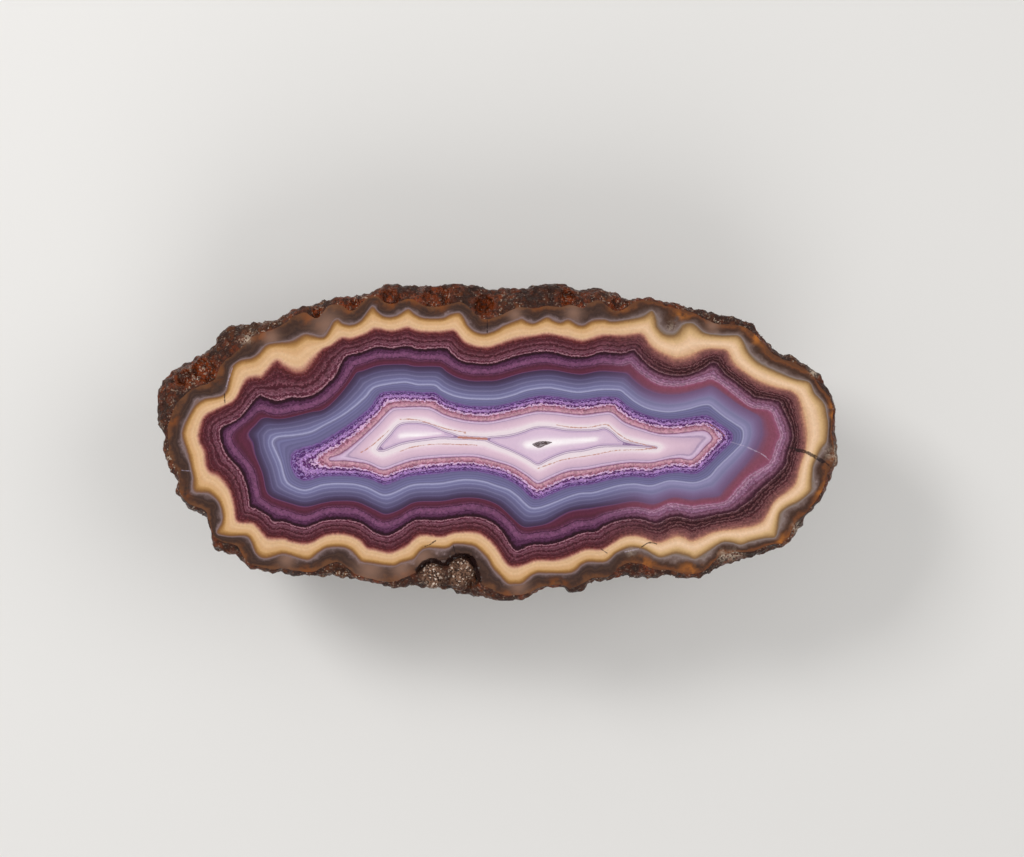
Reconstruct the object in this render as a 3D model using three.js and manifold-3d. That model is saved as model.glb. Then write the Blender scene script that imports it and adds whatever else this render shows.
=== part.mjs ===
// A face-polished agate nodule, lying on its rounded back with the cut face up.
// Millimetres, +Z up, the origin on the ground under the middle of the stone.
// X runs along the nodule and Y across it. The stone is one piece, so it is one solid.
import * as THREE from "three";
import Module from "manifold-3d";
import { mergeVertices } from "three/addons/utils/BufferGeometryUtils.js";

// Driving dimensions
const FACE_HEIGHT = 27; // the polished face above the ground
const SPINE_HALF = 32; // half of the line that the nodule grew round
const FOOT_SPINE_SHARE = 0.3; // the flat foot's share of that line
const FOOT_RADIUS_SHARE = 0.24; // and of the distance from it to the skin
const BACK_FULLNESS = 0.8; // under 1 the back stays wide before it turns under
const BACK_STEEPNESS = 1.2; // over 1 it drops steeply from the rim
const EVENED_BY = 0.36; // how far down the back the rim's scallops have gone
const EVEN_SPAN = 9; // stations to each side that their evening out is taken over

// The edge of the cut: how far the skin drops from the face to the widest place
const SHOULDER_LEAST = 1.1;
const SHOULDER_PER_INSET = 0.62;
const LEAST_INSET = 0.25;
const SHOULDER_SLOPE = 0.55; // 0 leaves the face level, 1 is a straight bevel

// How finely the skin is cut into faces
const COLUMNS = 208;
const SHOULDER_RINGS = 4;
const BACK_RINGS = 15;

// The rim, clockwise from the left end as seen from above: x and y of the widest place,
// and how far inside it the polish starts. A deep inset is a broken stretch of the rind.
const RIM = [
  [-53.9, 0.0, 0.9], [-53.9, 1.6, 0.8], [-54.6, 3.3, 1.7], [-54.9, 5.4, 2.6],
  [-55.3, 6.7, 3.2], [-55.0, 8.2, 4.0], [-53.9, 9.8, 4.3], [-52.4, 11.4, 5.0],
  [-50.9, 12.5, 5.6], [-49.0, 13.6, 4.8], [-47.0, 14.4, 3.2], [-46.3, 15.1, 3.0],
  [-45.6, 16.7, 3.8], [-44.6, 18.1, 4.3], [-43.0, 18.7, 3.8], [-40.8, 19.0, 2.4],
  [-38.7, 19.1, 1.6], [-37.0, 19.5, 1.6], [-35.0, 20.1, 1.2], [-33.2, 20.8, 0.8],
  [-31.6, 21.6, 0.8], [-30.4, 22.2, 1.2], [-29.4, 22.6, 3.0], [-28.3, 22.9, 2.6],
  [-27.5, 23.0, 0.9], [-25.0, 23.2, 1.1], [-24.1, 23.4, 2.5], [-23.1, 23.5, 2.4],
  [-22.3, 23.3, 1.4], [-21.4, 23.8, 0.7], [-20.2, 24.1, 0.5], [-19.1, 24.7, 1.0],
  [-18.2, 25.1, 2.7], [-16.9, 25.4, 3.3], [-15.6, 25.3, 2.8], [-14.4, 25.2, 1.9],
  [-13.2, 25.0, 1.9], [-12.2, 24.9, 2.9], [-10.6, 24.9, 3.1], [-9.3, 25.3, 3.4],
  [-8.0, 25.7, 3.6], [-6.6, 25.8, 3.1], [-5.2, 25.6, 2.9], [-4.1, 25.3, 4.3],
  [-3.0, 25.0, 5.0], [-1.8, 24.7, 5.1], [-0.4, 24.4, 4.5], [1.0, 24.7, 4.1],
  [2.3, 24.9, 3.7], [3.8, 24.8, 3.0], [5.3, 24.9, 3.3], [6.4, 25.3, 3.8],
  [8.8, 25.8, 3.6], [10.1, 25.7, 4.3], [11.2, 25.3, 3.3], [12.4, 24.9, 2.4],
  [13.4, 24.6, 3.0], [14.3, 24.6, 3.3], [15.2, 24.9, 2.4], [16.3, 24.8, 1.7],
  [17.5, 24.3, 1.8], [18.6, 24.1, 2.8], [19.8, 23.6, 2.5], [20.9, 23.0, 1.3],
  [22.0, 22.8, 0.4], [23.9, 23.5, 0.4], [25.3, 23.3, 0.4], [28.2, 22.2, 0.6],
  [31.6, 21.4, 0.5], [32.7, 21.0, 0.6], [34.2, 21.0, 1.4], [35.6, 20.8, 1.7],
  [37.2, 20.3, 1.4], [38.8, 19.8, 0.9], [40.4, 19.2, 0.6], [41.6, 18.4, 0.6],
  [42.4, 17.4, 0.5], [44.5, 15.2, 0.4], [45.4, 14.1, 0.5], [46.9, 13.9, 0.8],
  [48.4, 13.2, 0.6], [51.4, 11.4, 0.6], [52.7, 10.3, 1.0], [53.4, 9.0, 0.9],
  [54.5, 7.7, 0.7], [54.9, 6.0, 0.5], [54.9, 4.0, 0.6], [55.0, 2.2, 0.6],
  [54.9, 0.4, 0.5], [55.2, -1.6, 0.4], [55.4, -2.9, 0.6], [54.9, -4.2, 0.7],
  [54.6, -5.1, 1.0], [53.6, -5.6, 0.3], [53.5, -7.2, 0.4], [52.8, -8.4, 0.5],
  [50.6, -11.5, 0.4], [49.4, -13.1, 0.8], [48.6, -14.4, 0.9], [47.6, -15.9, 0.5],
  [46.5, -17.1, 0.6], [45.2, -17.0, 0.7], [44.0, -17.6, 1.0], [42.2, -17.9, 0.5],
  [40.8, -18.2, 0.5], [39.6, -19.1, 1.4], [37.9, -19.5, 1.6], [36.4, -20.0, 1.8],
  [35.0, -20.4, 0.7], [33.4, -21.4, 0.4], [30.4, -21.8, 0.5], [28.8, -21.2, 0.5],
  [27.4, -21.5, 1.0], [25.8, -22.0, 1.2], [24.2, -21.9, 2.0], [22.4, -21.4, 1.9],
  [20.8, -21.2, 1.7], [19.5, -21.3, 0.8], [18.5, -22.1, 0.5], [17.6, -22.4, 0.4],
  [15.7, -22.1, 0.4], [14.7, -22.7, 0.5], [13.6, -23.9, 0.7], [12.0, -24.6, 0.8],
  [11.2, -23.7, 0.6], [9.8, -23.2, 0.3], [6.0, -24.2, 0.3], [4.9, -25.0, 0.4],
  [3.0, -25.4, 0.6], [1.0, -25.8, 1.1], [-0.4, -25.5, 1.5], [-1.4, -24.6, 1.2],
  [-2.8, -24.7, 1.6], [-3.6, -24.8, 4.4], [-4.8, -24.8, 5.9], [-6.0, -24.4, 5.7],
  [-7.3, -23.9, 4.8], [-8.6, -23.6, 3.4], [-9.8, -23.4, 3.9], [-11.0, -23.3, 3.8],
  [-12.0, -23.3, 2.6], [-13.6, -23.2, 1.9], [-15.4, -23.0, 1.0], [-17.4, -23.1, 0.4],
  [-19.3, -22.7, 0.4], [-21.4, -22.1, 0.3], [-23.3, -22.3, 1.0], [-24.5, -21.9, 2.2],
  [-25.8, -21.4, 2.1], [-27.4, -21.2, 1.4], [-28.8, -21.3, 0.6], [-33.6, -21.2, 0.5],
  [-34.8, -20.7, 0.5], [-36.6, -21.0, 0.4], [-38.6, -20.5, 0.4], [-40.3, -20.4, 0.6],
  [-41.0, -19.3, 0.4], [-41.6, -18.1, 0.8], [-42.9, -17.6, 1.3], [-45.2, -17.8, 1.9],
  [-46.4, -16.9, 1.7], [-46.1, -15.3, 0.4], [-47.2, -11.9, 0.5], [-47.9, -11.2, 0.8],
  [-49.2, -11.0, 0.8], [-49.9, -10.1, 0.3], [-51.3, -9.2, 0.3], [-51.8, -8.3, 0.4],
  [-51.7, -6.9, 0.4], [-52.2, -5.1, 0.9], [-53.1, -3.8, 1.1], [-54.0, -2.2, 1.1],
];

// A broken stretch of rim is craggy, by this share of its inset
const CRAG = 0.2;

// The knobs and hollows of the skin under the rim, spread evenly by the golden ratio
const KNOB_COUNT = 128;
const KNOB_DEPTH = { least: 0.1, most: 0.95 };
const KNOB_REACH = { least: 2.8, most: 6.2 };
const KNOB_HEIGHT = { hollow: -2.3, knob: 2.0 };
const KNOBS_START_BY = 0.15; // they fade out over this share of the back next to the rim
const KNOBS_END_OVER = 3; // and over this height above the ground
const GOLDEN_RATIO = (1 + Math.sqrt(5)) / 2;

// Rounded lumps of host rock that stand in the rim's recesses: place, radius, and how far
// the top stays under the polish
const HOST_LUMPS = [
  { x: -5.9, y: -21.4, radius: 2.5, under: 0.3 },
  { x: -10.8, y: -21.7, radius: 1.8, under: 0.6 },
  { x: -47.4, y: 10.8, radius: 1.9, under: 0.2 },
  { x: -50.6, y: 10.4, radius: 1.6, under: 1.1 },
  { x: -29.2, y: 20.7, radius: 1.1, under: 0.4 },
  { x: -25.1, y: -20.7, radius: 1.5, under: 0.4 },
  { x: 12.3, y: 23.2, radius: 1.2, under: 0.9 },
  { x: -2.2, y: 22.3, radius: 1.9, under: 1.3 },
];
const LUMP_KNOBBLE = { height: 0.09, waves: 5.3 };

// The small open pocket left in the middle of the face, corners clockwise from its left tip
const POCKET = [[5.6, -0.1], [7.4, 0.25], [8.5, 0.15], [7.7, -0.4], [6.8, -0.8]];
const POCKET_DEPTH = 0.9;

const STONE_COLOR = 0x8a6a86;
const STONE_ROUGHNESS = 0.35;
const MERGE_WITHIN = 1e-4; // vertices this close are one

// A repeatable number from 0 to 1 for each pair of whole numbers, as a wave too fast to follow
function scatter(n, draw) {
  const wave = Math.sin(n * 127.1 + draw * 311.7 + 11.7) * 43758.5453;
  return wave - Math.floor(wave);
}

function mix(a, b, share) {
  return a + (b - a) * share;
}

// The rim's stations, evenly spaced along a smooth closed line. Each is seen from the nearest
// point of the spine: the way out to it, how far, and how far inside it the polish starts.
function rimStations() {
  const through = RIM.map(([x, y, inset]) => new THREE.Vector3(x, y, inset));
  const line = new THREE.CatmullRomCurve3(through, true, "centripetal");
  line.arcLengthDivisions = RIM.length * 8;
  const stations = line.getSpacedPoints(COLUMNS).slice(0, COLUMNS).map((point) => {
    const spineX = THREE.MathUtils.clamp(point.x, -SPINE_HALF, SPINE_HALF);
    const way = new THREE.Vector2(point.x - spineX, point.y);
    const radius = way.length();
    const inset = Math.max(point.z, LEAST_INSET);
    const drop = SHOULDER_LEAST + SHOULDER_PER_INSET * inset;
    return { spineX, way: way.divideScalar(radius), radius, inset, drop };
  });
  return stations.map((station, index) => ({
    ...station,
    evenRadius: evenOut(stations, index, "radius"),
    evenDrop: evenOut(stations, index, "drop"),
  }));
}

// A measure of the rim averaged over the stations to each side
function evenOut(stations, index, measure) {
  let sum = 0;
  for (let n = index - EVEN_SPAN; n <= index + EVEN_SPAN; n++) {
    sum += stations[(n + COLUMNS) % COLUMNS][measure];
  }
  return sum / (2 * EVEN_SPAN + 1);
}

// The point at a distance out from the spine, along a station's way
function pointOut({ spineX, way }, out, z) {
  return new THREE.Vector3(spineX + way.x * out, way.y * out, z);
}

// The shoulder's points, from the edge of the polish to the widest place
function shoulderColumn(station, index) {
  const column = [];
  for (let ring = 0; ring <= SHOULDER_RINGS; ring++) {
    const turn = (ring / SHOULDER_RINGS) * (Math.PI / 2);
    const inside = ring > 0 && ring < SHOULDER_RINGS;
    const crag = inside ? (scatter(index, ring) - 0.5) * CRAG * station.inset : 0;
    const out = station.radius - Math.max(0, station.inset * (1 - Math.sin(turn)) - crag);
    const fall = mix(1 - Math.cos(turn), ring / SHOULDER_RINGS, SHOULDER_SLOPE);
    column.push(pointOut(station, out, FACE_HEIGHT - Math.max(0, station.drop * fall - crag)));
  }
  return column;
}

// A point of the back before its knobs, from the widest place (0) down to the foot (1).
// The rim's scallops soon even out below it.
function backPoint(station, depth) {
  const turn = depth * (Math.PI / 2);
  const narrowing = Math.pow(Math.cos(turn), BACK_FULLNESS);
  const evened = THREE.MathUtils.smoothstep(depth, 0, EVENED_BY);
  const widest = mix(station.radius, station.evenRadius, evened);
  const out = Math.min(station.radius, widest * mix(FOOT_RADIUS_SHARE, 1, narrowing));
  const girth = FACE_HEIGHT - mix(station.drop, station.evenDrop, evened);
  const z = girth * (1 - Math.pow(Math.sin(turn), BACK_STEEPNESS));
  const spineShare = mix(FOOT_SPINE_SHARE, 1, narrowing);
  return pointOut({ ...station, spineX: station.spineX * spineShare }, out, z);
}

// Where the back's knobs and hollows are centred: fewer low down, where the stone is narrow
function backKnobs(stations) {
  const knobs = [];
  for (let n = 0; n < KNOB_COUNT; n++) {
    const round = (n * GOLDEN_RATIO) % 1;
    const low = 1 - Math.sqrt(1 - (n + 0.5) / KNOB_COUNT);
    const depth = mix(KNOB_DEPTH.least, KNOB_DEPTH.most, low);
    knobs.push({
      centre: backPoint(stations[Math.floor(round * COLUMNS)], depth),
      reach: mix(KNOB_REACH.least, KNOB_REACH.most, scatter(n, 0)),
      height: mix(KNOB_HEIGHT.hollow, KNOB_HEIGHT.knob, scatter(n, 1)),
    });
  }
  return knobs;
}

// How far the knobs push the skin out at a point
function knobPush(point, knobs) {
  let push = 0;
  for (const knob of knobs) {
    const near = point.distanceTo(knob.centre) / knob.reach;
    push += knob.height * Math.exp(-near * near);
  }
  return push;
}

// The back's points under the shoulder. None stands out past the rim, seen from above.
function backColumn(station, knobs) {
  const rim = pointOut(station, station.radius, 0);
  const column = [];
  for (let ring = 1; ring <= BACK_RINGS; ring++) {
    const depth = ring / BACK_RINGS;
    const point = backPoint(station, depth);
    const started = THREE.MathUtils.smoothstep(depth, 0, KNOBS_START_BY);
    const ending = THREE.MathUtils.smoothstep(point.z, 0, KNOBS_END_OVER);
    const push = knobPush(point, knobs) * started * ending;
    const down = Math.sin(depth * (Math.PI / 2));
    const room = (rim.x - point.x) * station.way.x + (rim.y - point.y) * station.way.y;
    const out = Math.min(push * (1 - down), room);
    point.x += station.way.x * out;
    point.y += station.way.y * out;
    point.z = ring < BACK_RINGS ? Math.max(0, point.z - push * down) : 0;
    column.push(point);
  }
  return column;
}

// The closed skin: rings of points joined by triangles, with the face and the foot filled in
function noduleGeometry() {
  const stations = rimStations();
  const knobs = backKnobs(stations);
  const columns = stations.map((station, index) => [
    ...shoulderColumn(station, index),
    ...backColumn(station, knobs),
  ]);
  const rings = columns[0].length;
  const positions = columns.flat().flatMap((point) => point.toArray());
  const faces = [];
  for (let c = 0; c < COLUMNS; c++) {
    const here = c * rings;
    const next = ((c + 1) % COLUMNS) * rings;
    for (let ring = 0; ring < rings - 1; ring++) {
      faces.push(here + ring, next + ring, here + ring + 1);
      faces.push(next + ring, next + ring + 1, here + ring + 1);
    }
  }
  const flatRing = (ring) => columns.map((column) => new THREE.Vector2(column[ring].x, column[ring].y));
  for (const [a, b, c] of THREE.ShapeUtils.triangulateShape(flatRing(0), [])) {
    faces.push(a * rings, b * rings, c * rings);
  }
  const foot = rings - 1;
  for (const [a, b, c] of THREE.ShapeUtils.triangulateShape(flatRing(foot), [])) {
    faces.push(a * rings + foot, c * rings + foot, b * rings + foot);
  }
  const geometry = new THREE.BufferGeometry();
  geometry.setAttribute("position", new THREE.Float32BufferAttribute(positions, 3));
  geometry.setIndex(faces);
  return geometry;
}

// One knobbly lump of host rock, a ball whose radius wavers
function lumpGeometry({ x, y, radius, under }) {
  const ball = mergeVertices(bareCopy(new THREE.IcosahedronGeometry(1, 2)), MERGE_WITHIN);
  const place = ball.attributes.position;
  for (let n = 0; n < place.count; n++) {
    const wave = (along, start) => Math.sin(along * LUMP_KNOBBLE.waves + start);
    const waver = wave(place.getX(n), x) + wave(place.getY(n), y) + wave(place.getZ(n), 0);
    const reach = radius * (1 + LUMP_KNOBBLE.height * (waver / 3 - 1));
    place.setXYZ(n, place.getX(n) * reach, place.getY(n) * reach, place.getZ(n) * reach);
  }
  return ball.translate(x, y, FACE_HEIGHT - under - radius);
}

// The small open pocket's cutter: its outline, sunk from above the face to its floor
function pocketGeometry() {
  const outline = new THREE.Shape(POCKET.map(([x, y]) => new THREE.Vector2(x, y)).reverse());
  const above = 1;
  const geometry = new THREE.ExtrudeGeometry(outline, {
    depth: POCKET_DEPTH + above,
    bevelEnabled: false,
  });
  return geometry.translate(0, 0, FACE_HEIGHT - POCKET_DEPTH);
}

// A geometry with its positions alone, so that vertices at one place can be merged
function bareCopy(geometry) {
  const bare = geometry.clone();
  bare.deleteAttribute("normal");
  bare.deleteAttribute("uv");
  return bare;
}

// A closed three.js geometry as a solid for cuts and joins, and back again
function toSolid(wasm, geometry) {
  const merged = mergeVertices(bareCopy(geometry), MERGE_WITHIN);
  return new wasm.Manifold(
    new wasm.Mesh({
      numProp: 3,
      vertProperties: merged.attributes.position.array,
      triVerts: new Uint32Array(merged.index.array),
    }),
  );
}

function toGeometry(solid) {
  const mesh = solid.getMesh();
  const geometry = new THREE.BufferGeometry();
  geometry.setAttribute("position", new THREE.BufferAttribute(mesh.vertProperties, 3));
  geometry.setIndex(new THREE.BufferAttribute(mesh.triVerts, 1));
  geometry.computeVertexNormals();
  return geometry;
}

const wasm = await Module();
wasm.setup();

let solid = toSolid(wasm, noduleGeometry());
for (const lump of HOST_LUMPS) solid = solid.add(toSolid(wasm, lumpGeometry(lump)));
solid = solid.subtract(toSolid(wasm, pocketGeometry()));

const stone = toGeometry(solid);
stone.computeBoundingBox();
const middle = stone.boundingBox.getCenter(new THREE.Vector3());
stone.translate(-middle.x, -middle.y, 0);

const agate = new THREE.Mesh(
  stone,
  new THREE.MeshStandardMaterial({ color: STONE_COLOR, roughness: STONE_ROUGHNESS, metalness: 0 }),
);
agate.name = "agate";

const part = new THREE.Group();
part.add(agate);
export default part;
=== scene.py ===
"""Half of an agate nodule, lying on its rough back with the polished cut face up.

The face is one dense flat sheet that carries, at each of its points, how many bands lie between it and
the rim. The materials colour that number, so the bands follow the lines drawn below at any distance.
"""

import math
import random

import bmesh
import bpy
import numpy as np
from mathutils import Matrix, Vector, geometry, kdtree, noise


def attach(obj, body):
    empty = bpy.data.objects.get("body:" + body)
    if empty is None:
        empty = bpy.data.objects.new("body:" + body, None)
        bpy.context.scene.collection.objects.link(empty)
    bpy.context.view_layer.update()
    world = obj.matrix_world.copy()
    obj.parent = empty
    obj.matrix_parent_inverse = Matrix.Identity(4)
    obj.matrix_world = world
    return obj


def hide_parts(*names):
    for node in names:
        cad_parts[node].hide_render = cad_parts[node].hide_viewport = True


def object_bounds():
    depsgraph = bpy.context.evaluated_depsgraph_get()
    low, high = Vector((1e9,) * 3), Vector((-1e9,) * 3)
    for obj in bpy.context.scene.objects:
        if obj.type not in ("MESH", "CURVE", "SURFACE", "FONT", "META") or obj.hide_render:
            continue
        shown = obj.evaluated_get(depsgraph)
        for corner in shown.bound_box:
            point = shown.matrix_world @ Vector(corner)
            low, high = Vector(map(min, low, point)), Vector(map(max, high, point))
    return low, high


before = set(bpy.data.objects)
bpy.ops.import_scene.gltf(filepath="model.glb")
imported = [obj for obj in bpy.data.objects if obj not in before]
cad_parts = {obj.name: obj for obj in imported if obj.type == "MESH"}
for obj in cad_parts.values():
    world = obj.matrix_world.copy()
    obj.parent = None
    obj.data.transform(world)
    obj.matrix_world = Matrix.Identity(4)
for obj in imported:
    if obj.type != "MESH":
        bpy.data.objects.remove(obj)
CAD_BOX = [list(corner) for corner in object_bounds()]

bl_info = {
    "name": "Agate nodule half",
    "version": (1, 0, 0),
    "blender": (4, 5, 0),
    "location": "3D View > Sidebar > Agate",
    "description": "Builds a polished agate nodule half with its bands, pocket and rough rind",
    "category": "Add Mesh",
}

MM = 0.001
# Where the part's own zero, the middle of its box, lies on the lines below, mm.
MIDDLE = np.array((0.059, 0.002))
# What the camera looks at, on the same lines, mm.
VIEW_CENTRE = (2.51, 2.19)
# The polished face's height, in m and in mm.
TOP = CAD_BOX[1][2]
FACE = TOP / MM

# Where two bands meet on the polished face, from the rim inwards: points in mm, clockwise from the
# left end. Each is a scallop's tip, its trough or a turn between them.
LAVENDER_EDGE = [
    (-50.6, 0), (-50.9, 1.4), (-50.5, 2.8), (-49, 5.6), (-48.1, 6.5), (-47.1, 7), (-44.6, 7.4),
    (-43.7, 8.3), (-43, 11.7), (-42.2, 12.8), (-41.2, 13.3), (-39.8, 13.5), (-38.7, 14.1), (-37.2, 15.7),
    (-35.8, 16), (-33.1, 16.3), (-31, 17.4), (-29.9, 17.2), (-28, 16.9), (-27.1, 18.1), (-26.4, 19.4),
    (-25.7, 19.8), (-25, 19.2), (-23.9, 18.9), (-22.8, 19.1), (-21.8, 19.8), (-20.9, 21), (-20.1, 21.9),
    (-19.2, 21), (-18.4, 20.4), (-17.3, 20.2), (-16, 20.5), (-14.3, 21.5), (-13.4, 20.8), (-12.3, 20.2),
    (-10.9, 20), (-8.5, 20.1), (-7.6, 20.6), (-6, 20.9), (-5.3, 20.1), (-4.8, 19), (-3.9, 18.1),
    (-2.8, 17.6), (-1.8, 17.5), (0, 18.1), (1.1, 18.8), (3.4, 19.7), (4.2, 19.9), (5, 19.4), (6.1, 19.2),
    (8.2, 20.2), (9.1, 19.7), (10.4, 19.3), (11.6, 19.8), (13.2, 18.9), (14.3, 18.9), (15.4, 19.6),
    (17.5, 19.8), (18.4, 19.5), (20.7, 19.7), (23.8, 20.3), (25.2, 21.2), (25.8, 19.8), (26, 18.7),
    (26.7, 17.8), (27.5, 17.3), (29, 17.4), (30.3, 18.9), (31, 19.2), (31.9, 19.1), (33.5, 17.7),
    (34.6, 17.4), (36.8, 17.2), (39.1, 17.2), (39.8, 16.5), (40.7, 14.6), (41.6, 13.5), (42.6, 12.7),
    (45.3, 11.4), (48.2, 10.2), (50.7, 9.6), (51.4, 8), (53, 6.2), (53.5, 4.2), (53.7, 2.8), (53.4, 0),
    (52.8, -0.7), (51.6, -2.9), (51.2, -4.1), (51, -6.6), (50.9, -7.9), (49.1, -9.5), (46.8, -10.7),
    (45.9, -11.6), (45.5, -14.1), (45.1, -15.4), (43.7, -15.5), (41, -16.1), (39.6, -16.6), (38, -16.2),
    (36.6, -16.2), (34.8, -17.3), (32.1, -18.9), (31.2, -18.5), (29.1, -18), (27, -18.6), (26.2, -18.6),
    (24.1, -17.4), (23, -17.1), (21.4, -17.1), (19.3, -18), (18.4, -18.9), (17.5, -19.4), (14.8, -19.4),
    (13.8, -19.8), (12.9, -20.7), (11.8, -21.2), (8, -21.2), (6.6, -21.2), (5.5, -21.7), (4.1, -22.9),
    (2.9, -23), (1.8, -22.9), (0.4, -21.4), (-0.7, -20.2), (-1.4, -18.9), (-2.5, -17.7), (-3.5, -16.9),
    (-4.8, -16.6), (-6.9, -16.5), (-7.6, -17), (-8.5, -17.2), (-10.9, -17.1), (-11.9, -17.3),
    (-12.6, -17.9), (-13.4, -18.9), (-15.5, -19.5), (-16.6, -20), (-20.9, -19.5), (-21.9, -19.3),
    (-23.5, -17.6), (-24.8, -17), (-27.5, -17.1), (-28.9, -17.9), (-30.3, -19), (-31.5, -18.9),
    (-33.7, -18.2), (-34.9, -18.1), (-37.2, -18.8), (-38.3, -18.6), (-39, -17.9), (-39.9, -15.7),
    (-40.6, -15.2), (-43.5, -15.2), (-45.3, -14.7), (-44.6, -13.4), (-44.3, -12.1), (-44.9, -9.8),
    (-45.8, -8.8), (-46.7, -8.2), (-48.9, -7.9), (-49.1, -5.7), (-49.4, -4.3), (-50.1, -1.4),
]
MAROON_EDGE = [
    (-47.9, 0), (-48.1, 1), (-47.4, 3.7), (-46.7, 4.4), (-44.4, 5.6), (-42.4, 6.7), (-41.7, 7.8),
    (-40.5, 9.9), (-39.4, 10.3), (-38.1, 10.3), (-37.4, 11), (-36, 12.7), (-35.5, 13), (-34.8, 12.3),
    (-32.8, 11.2), (-31.5, 11.2), (-30.6, 11.7), (-29, 13.9), (-28, 15), (-26.8, 15.5), (-25, 16.7),
    (-23.7, 16.6), (-21, 17.5), (-20, 18.1), (-19.2, 18.2), (-17.1, 17.8), (-15.9, 18), (-14.3, 18.4),
    (-13.4, 18), (-11.9, 17.7), (-8.7, 17.7), (-6.9, 17.9), (-6.2, 17.1), (-5.3, 16.1), (-4.1, 15.5),
    (-2.6, 15.2), (-1.2, 15.2), (0, 15.5), (2.7, 16.4), (5.2, 16.9), (8.4, 17.3), (11.2, 16.8),
    (13.8, 16.2), (15, 16.4), (17.5, 17.1), (20.4, 17), (23.2, 17.3), (23.8, 16.9), (24.5, 15.8),
    (25.4, 14.9), (27.5, 13.7), (29.1, 13.1), (31.6, 13.5), (33.7, 14.7), (36.2, 14.8), (37.1, 14.6),
    (38, 12.8), (40.1, 11), (42.8, 9.4), (46, 8.4), (47.5, 8.1), (48.4, 7.4), (48.9, 6.4), (49.2, 4.6),
    (49.8, 1), (49.8, -1.1), (48.9, -4.1), (48.4, -5.9), (47.8, -7.1), (45.9, -8.6), (44.8, -9.6),
    (43.2, -12.3), (41.9, -13.2), (38.7, -13.8), (35.1, -14.4), (31.6, -15.7), (30.5, -15.2), (29.2, -14.9),
    (27, -15.8), (25.9, -16.1), (23.6, -15.2), (22.1, -15), (20.5, -15.2), (17.1, -17.2), (14.6, -17.2),
    (12.1, -18.2), (9.5, -19), (6.6, -19), (4.1, -19.8), (2.9, -20), (2, -19.8), (0.4, -17.5),
    (-0.7, -16.1), (-2.6, -14.7), (-4.1, -14.4), (-6.9, -14.6), (-8.9, -15.2), (-11.6, -14.9),
    (-12.8, -15.1), (-14.6, -16.6), (-16.8, -17.7), (-17.6, -17.8), (-19.8, -17.2), (-20.9, -17),
    (-22.1, -15.7), (-24.6, -14.8), (-27.5, -14.9), (-30.3, -16.2), (-33, -16), (-34.4, -15.5),
    (-37.1, -15.3), (-38.5, -13.8), (-39.4, -13), (-41.9, -12.7), (-42.3, -10.5), (-43.1, -7.7),
    (-44.8, -5.4), (-46.7, -4.3), (-47.1, -1.6),
]
BLACK_EDGE = [
    (-44.6, 0), (-44.8, 1), (-44.6, 2.3), (-42.4, 3.4), (-41.2, 4.4), (-39.2, 6.9), (-38.3, 7.6),
    (-37.6, 7.3), (-35.5, 6.7), (-33, 7.3), (-31.5, 7.2), (-28.9, 8.1), (-27.1, 9.8), (-26.2, 10.6),
    (-25, 13.1), (-24.2, 14), (-21.8, 14.6), (-19.2, 15.5), (-16.9, 15.2), (-14.6, 15.6), (-12.6, 15.1),
    (-8, 15.2), (-7.3, 14.4), (-6.2, 13.5), (-5, 13), (-3.4, 12.8), (-1.8, 12.7), (0, 12.9), (1.4, 13.4),
    (4.5, 14.3), (8.4, 14.7), (12.1, 13.9), (14.6, 13.9), (17.1, 14.6), (20.4, 14.4), (22.3, 14.9),
    (23.2, 13.9), (25.4, 11.9), (28, 10.9), (30.7, 10.9), (33.4, 11.9), (35.3, 13), (37.1, 11),
    (38.4, 10.1), (40.7, 8.3), (41.9, 7.4), (44.8, 6.9), (46, 6.5), (46.4, 5.5), (47.5, 3.3), (48, 1),
    (47.8, 0), (47.1, -2.3), (46.9, -3.6), (45.1, -5.7), (42.6, -7.9), (41.8, -8.9), (39.4, -10.7),
    (38.7, -11.2), (35.7, -11.8), (31.9, -12.6), (29.4, -12.1), (28, -12.3), (25.9, -13.2), (23.2, -12.5),
    (20, -12.7), (17.3, -13.7), (16.2, -14.5), (13.8, -14.8), (11.1, -15.9), (8.6, -16.6), (5.7, -16.7),
    (3.4, -17.6), (2.7, -17.3), (1.1, -14.8), (0, -13.6), (-1, -12.9), (-2.5, -12.3), (-4.1, -12.1),
    (-7.1, -12.4), (-9.4, -12.7), (-12.5, -12.6), (-13.7, -12.9), (-15.9, -14.4), (-17.8, -15.2),
    (-20, -14.5), (-21.9, -13.2), (-24.6, -12.6), (-28, -12.8), (-30.6, -13.8), (-31.9, -13.8),
    (-34.6, -12.9), (-36.2, -12.9), (-36.9, -12.1), (-39, -10.8), (-39.9, -10.5), (-40.3, -7.9),
    (-41.5, -4.6), (-43.7, -2.1),
]
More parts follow.
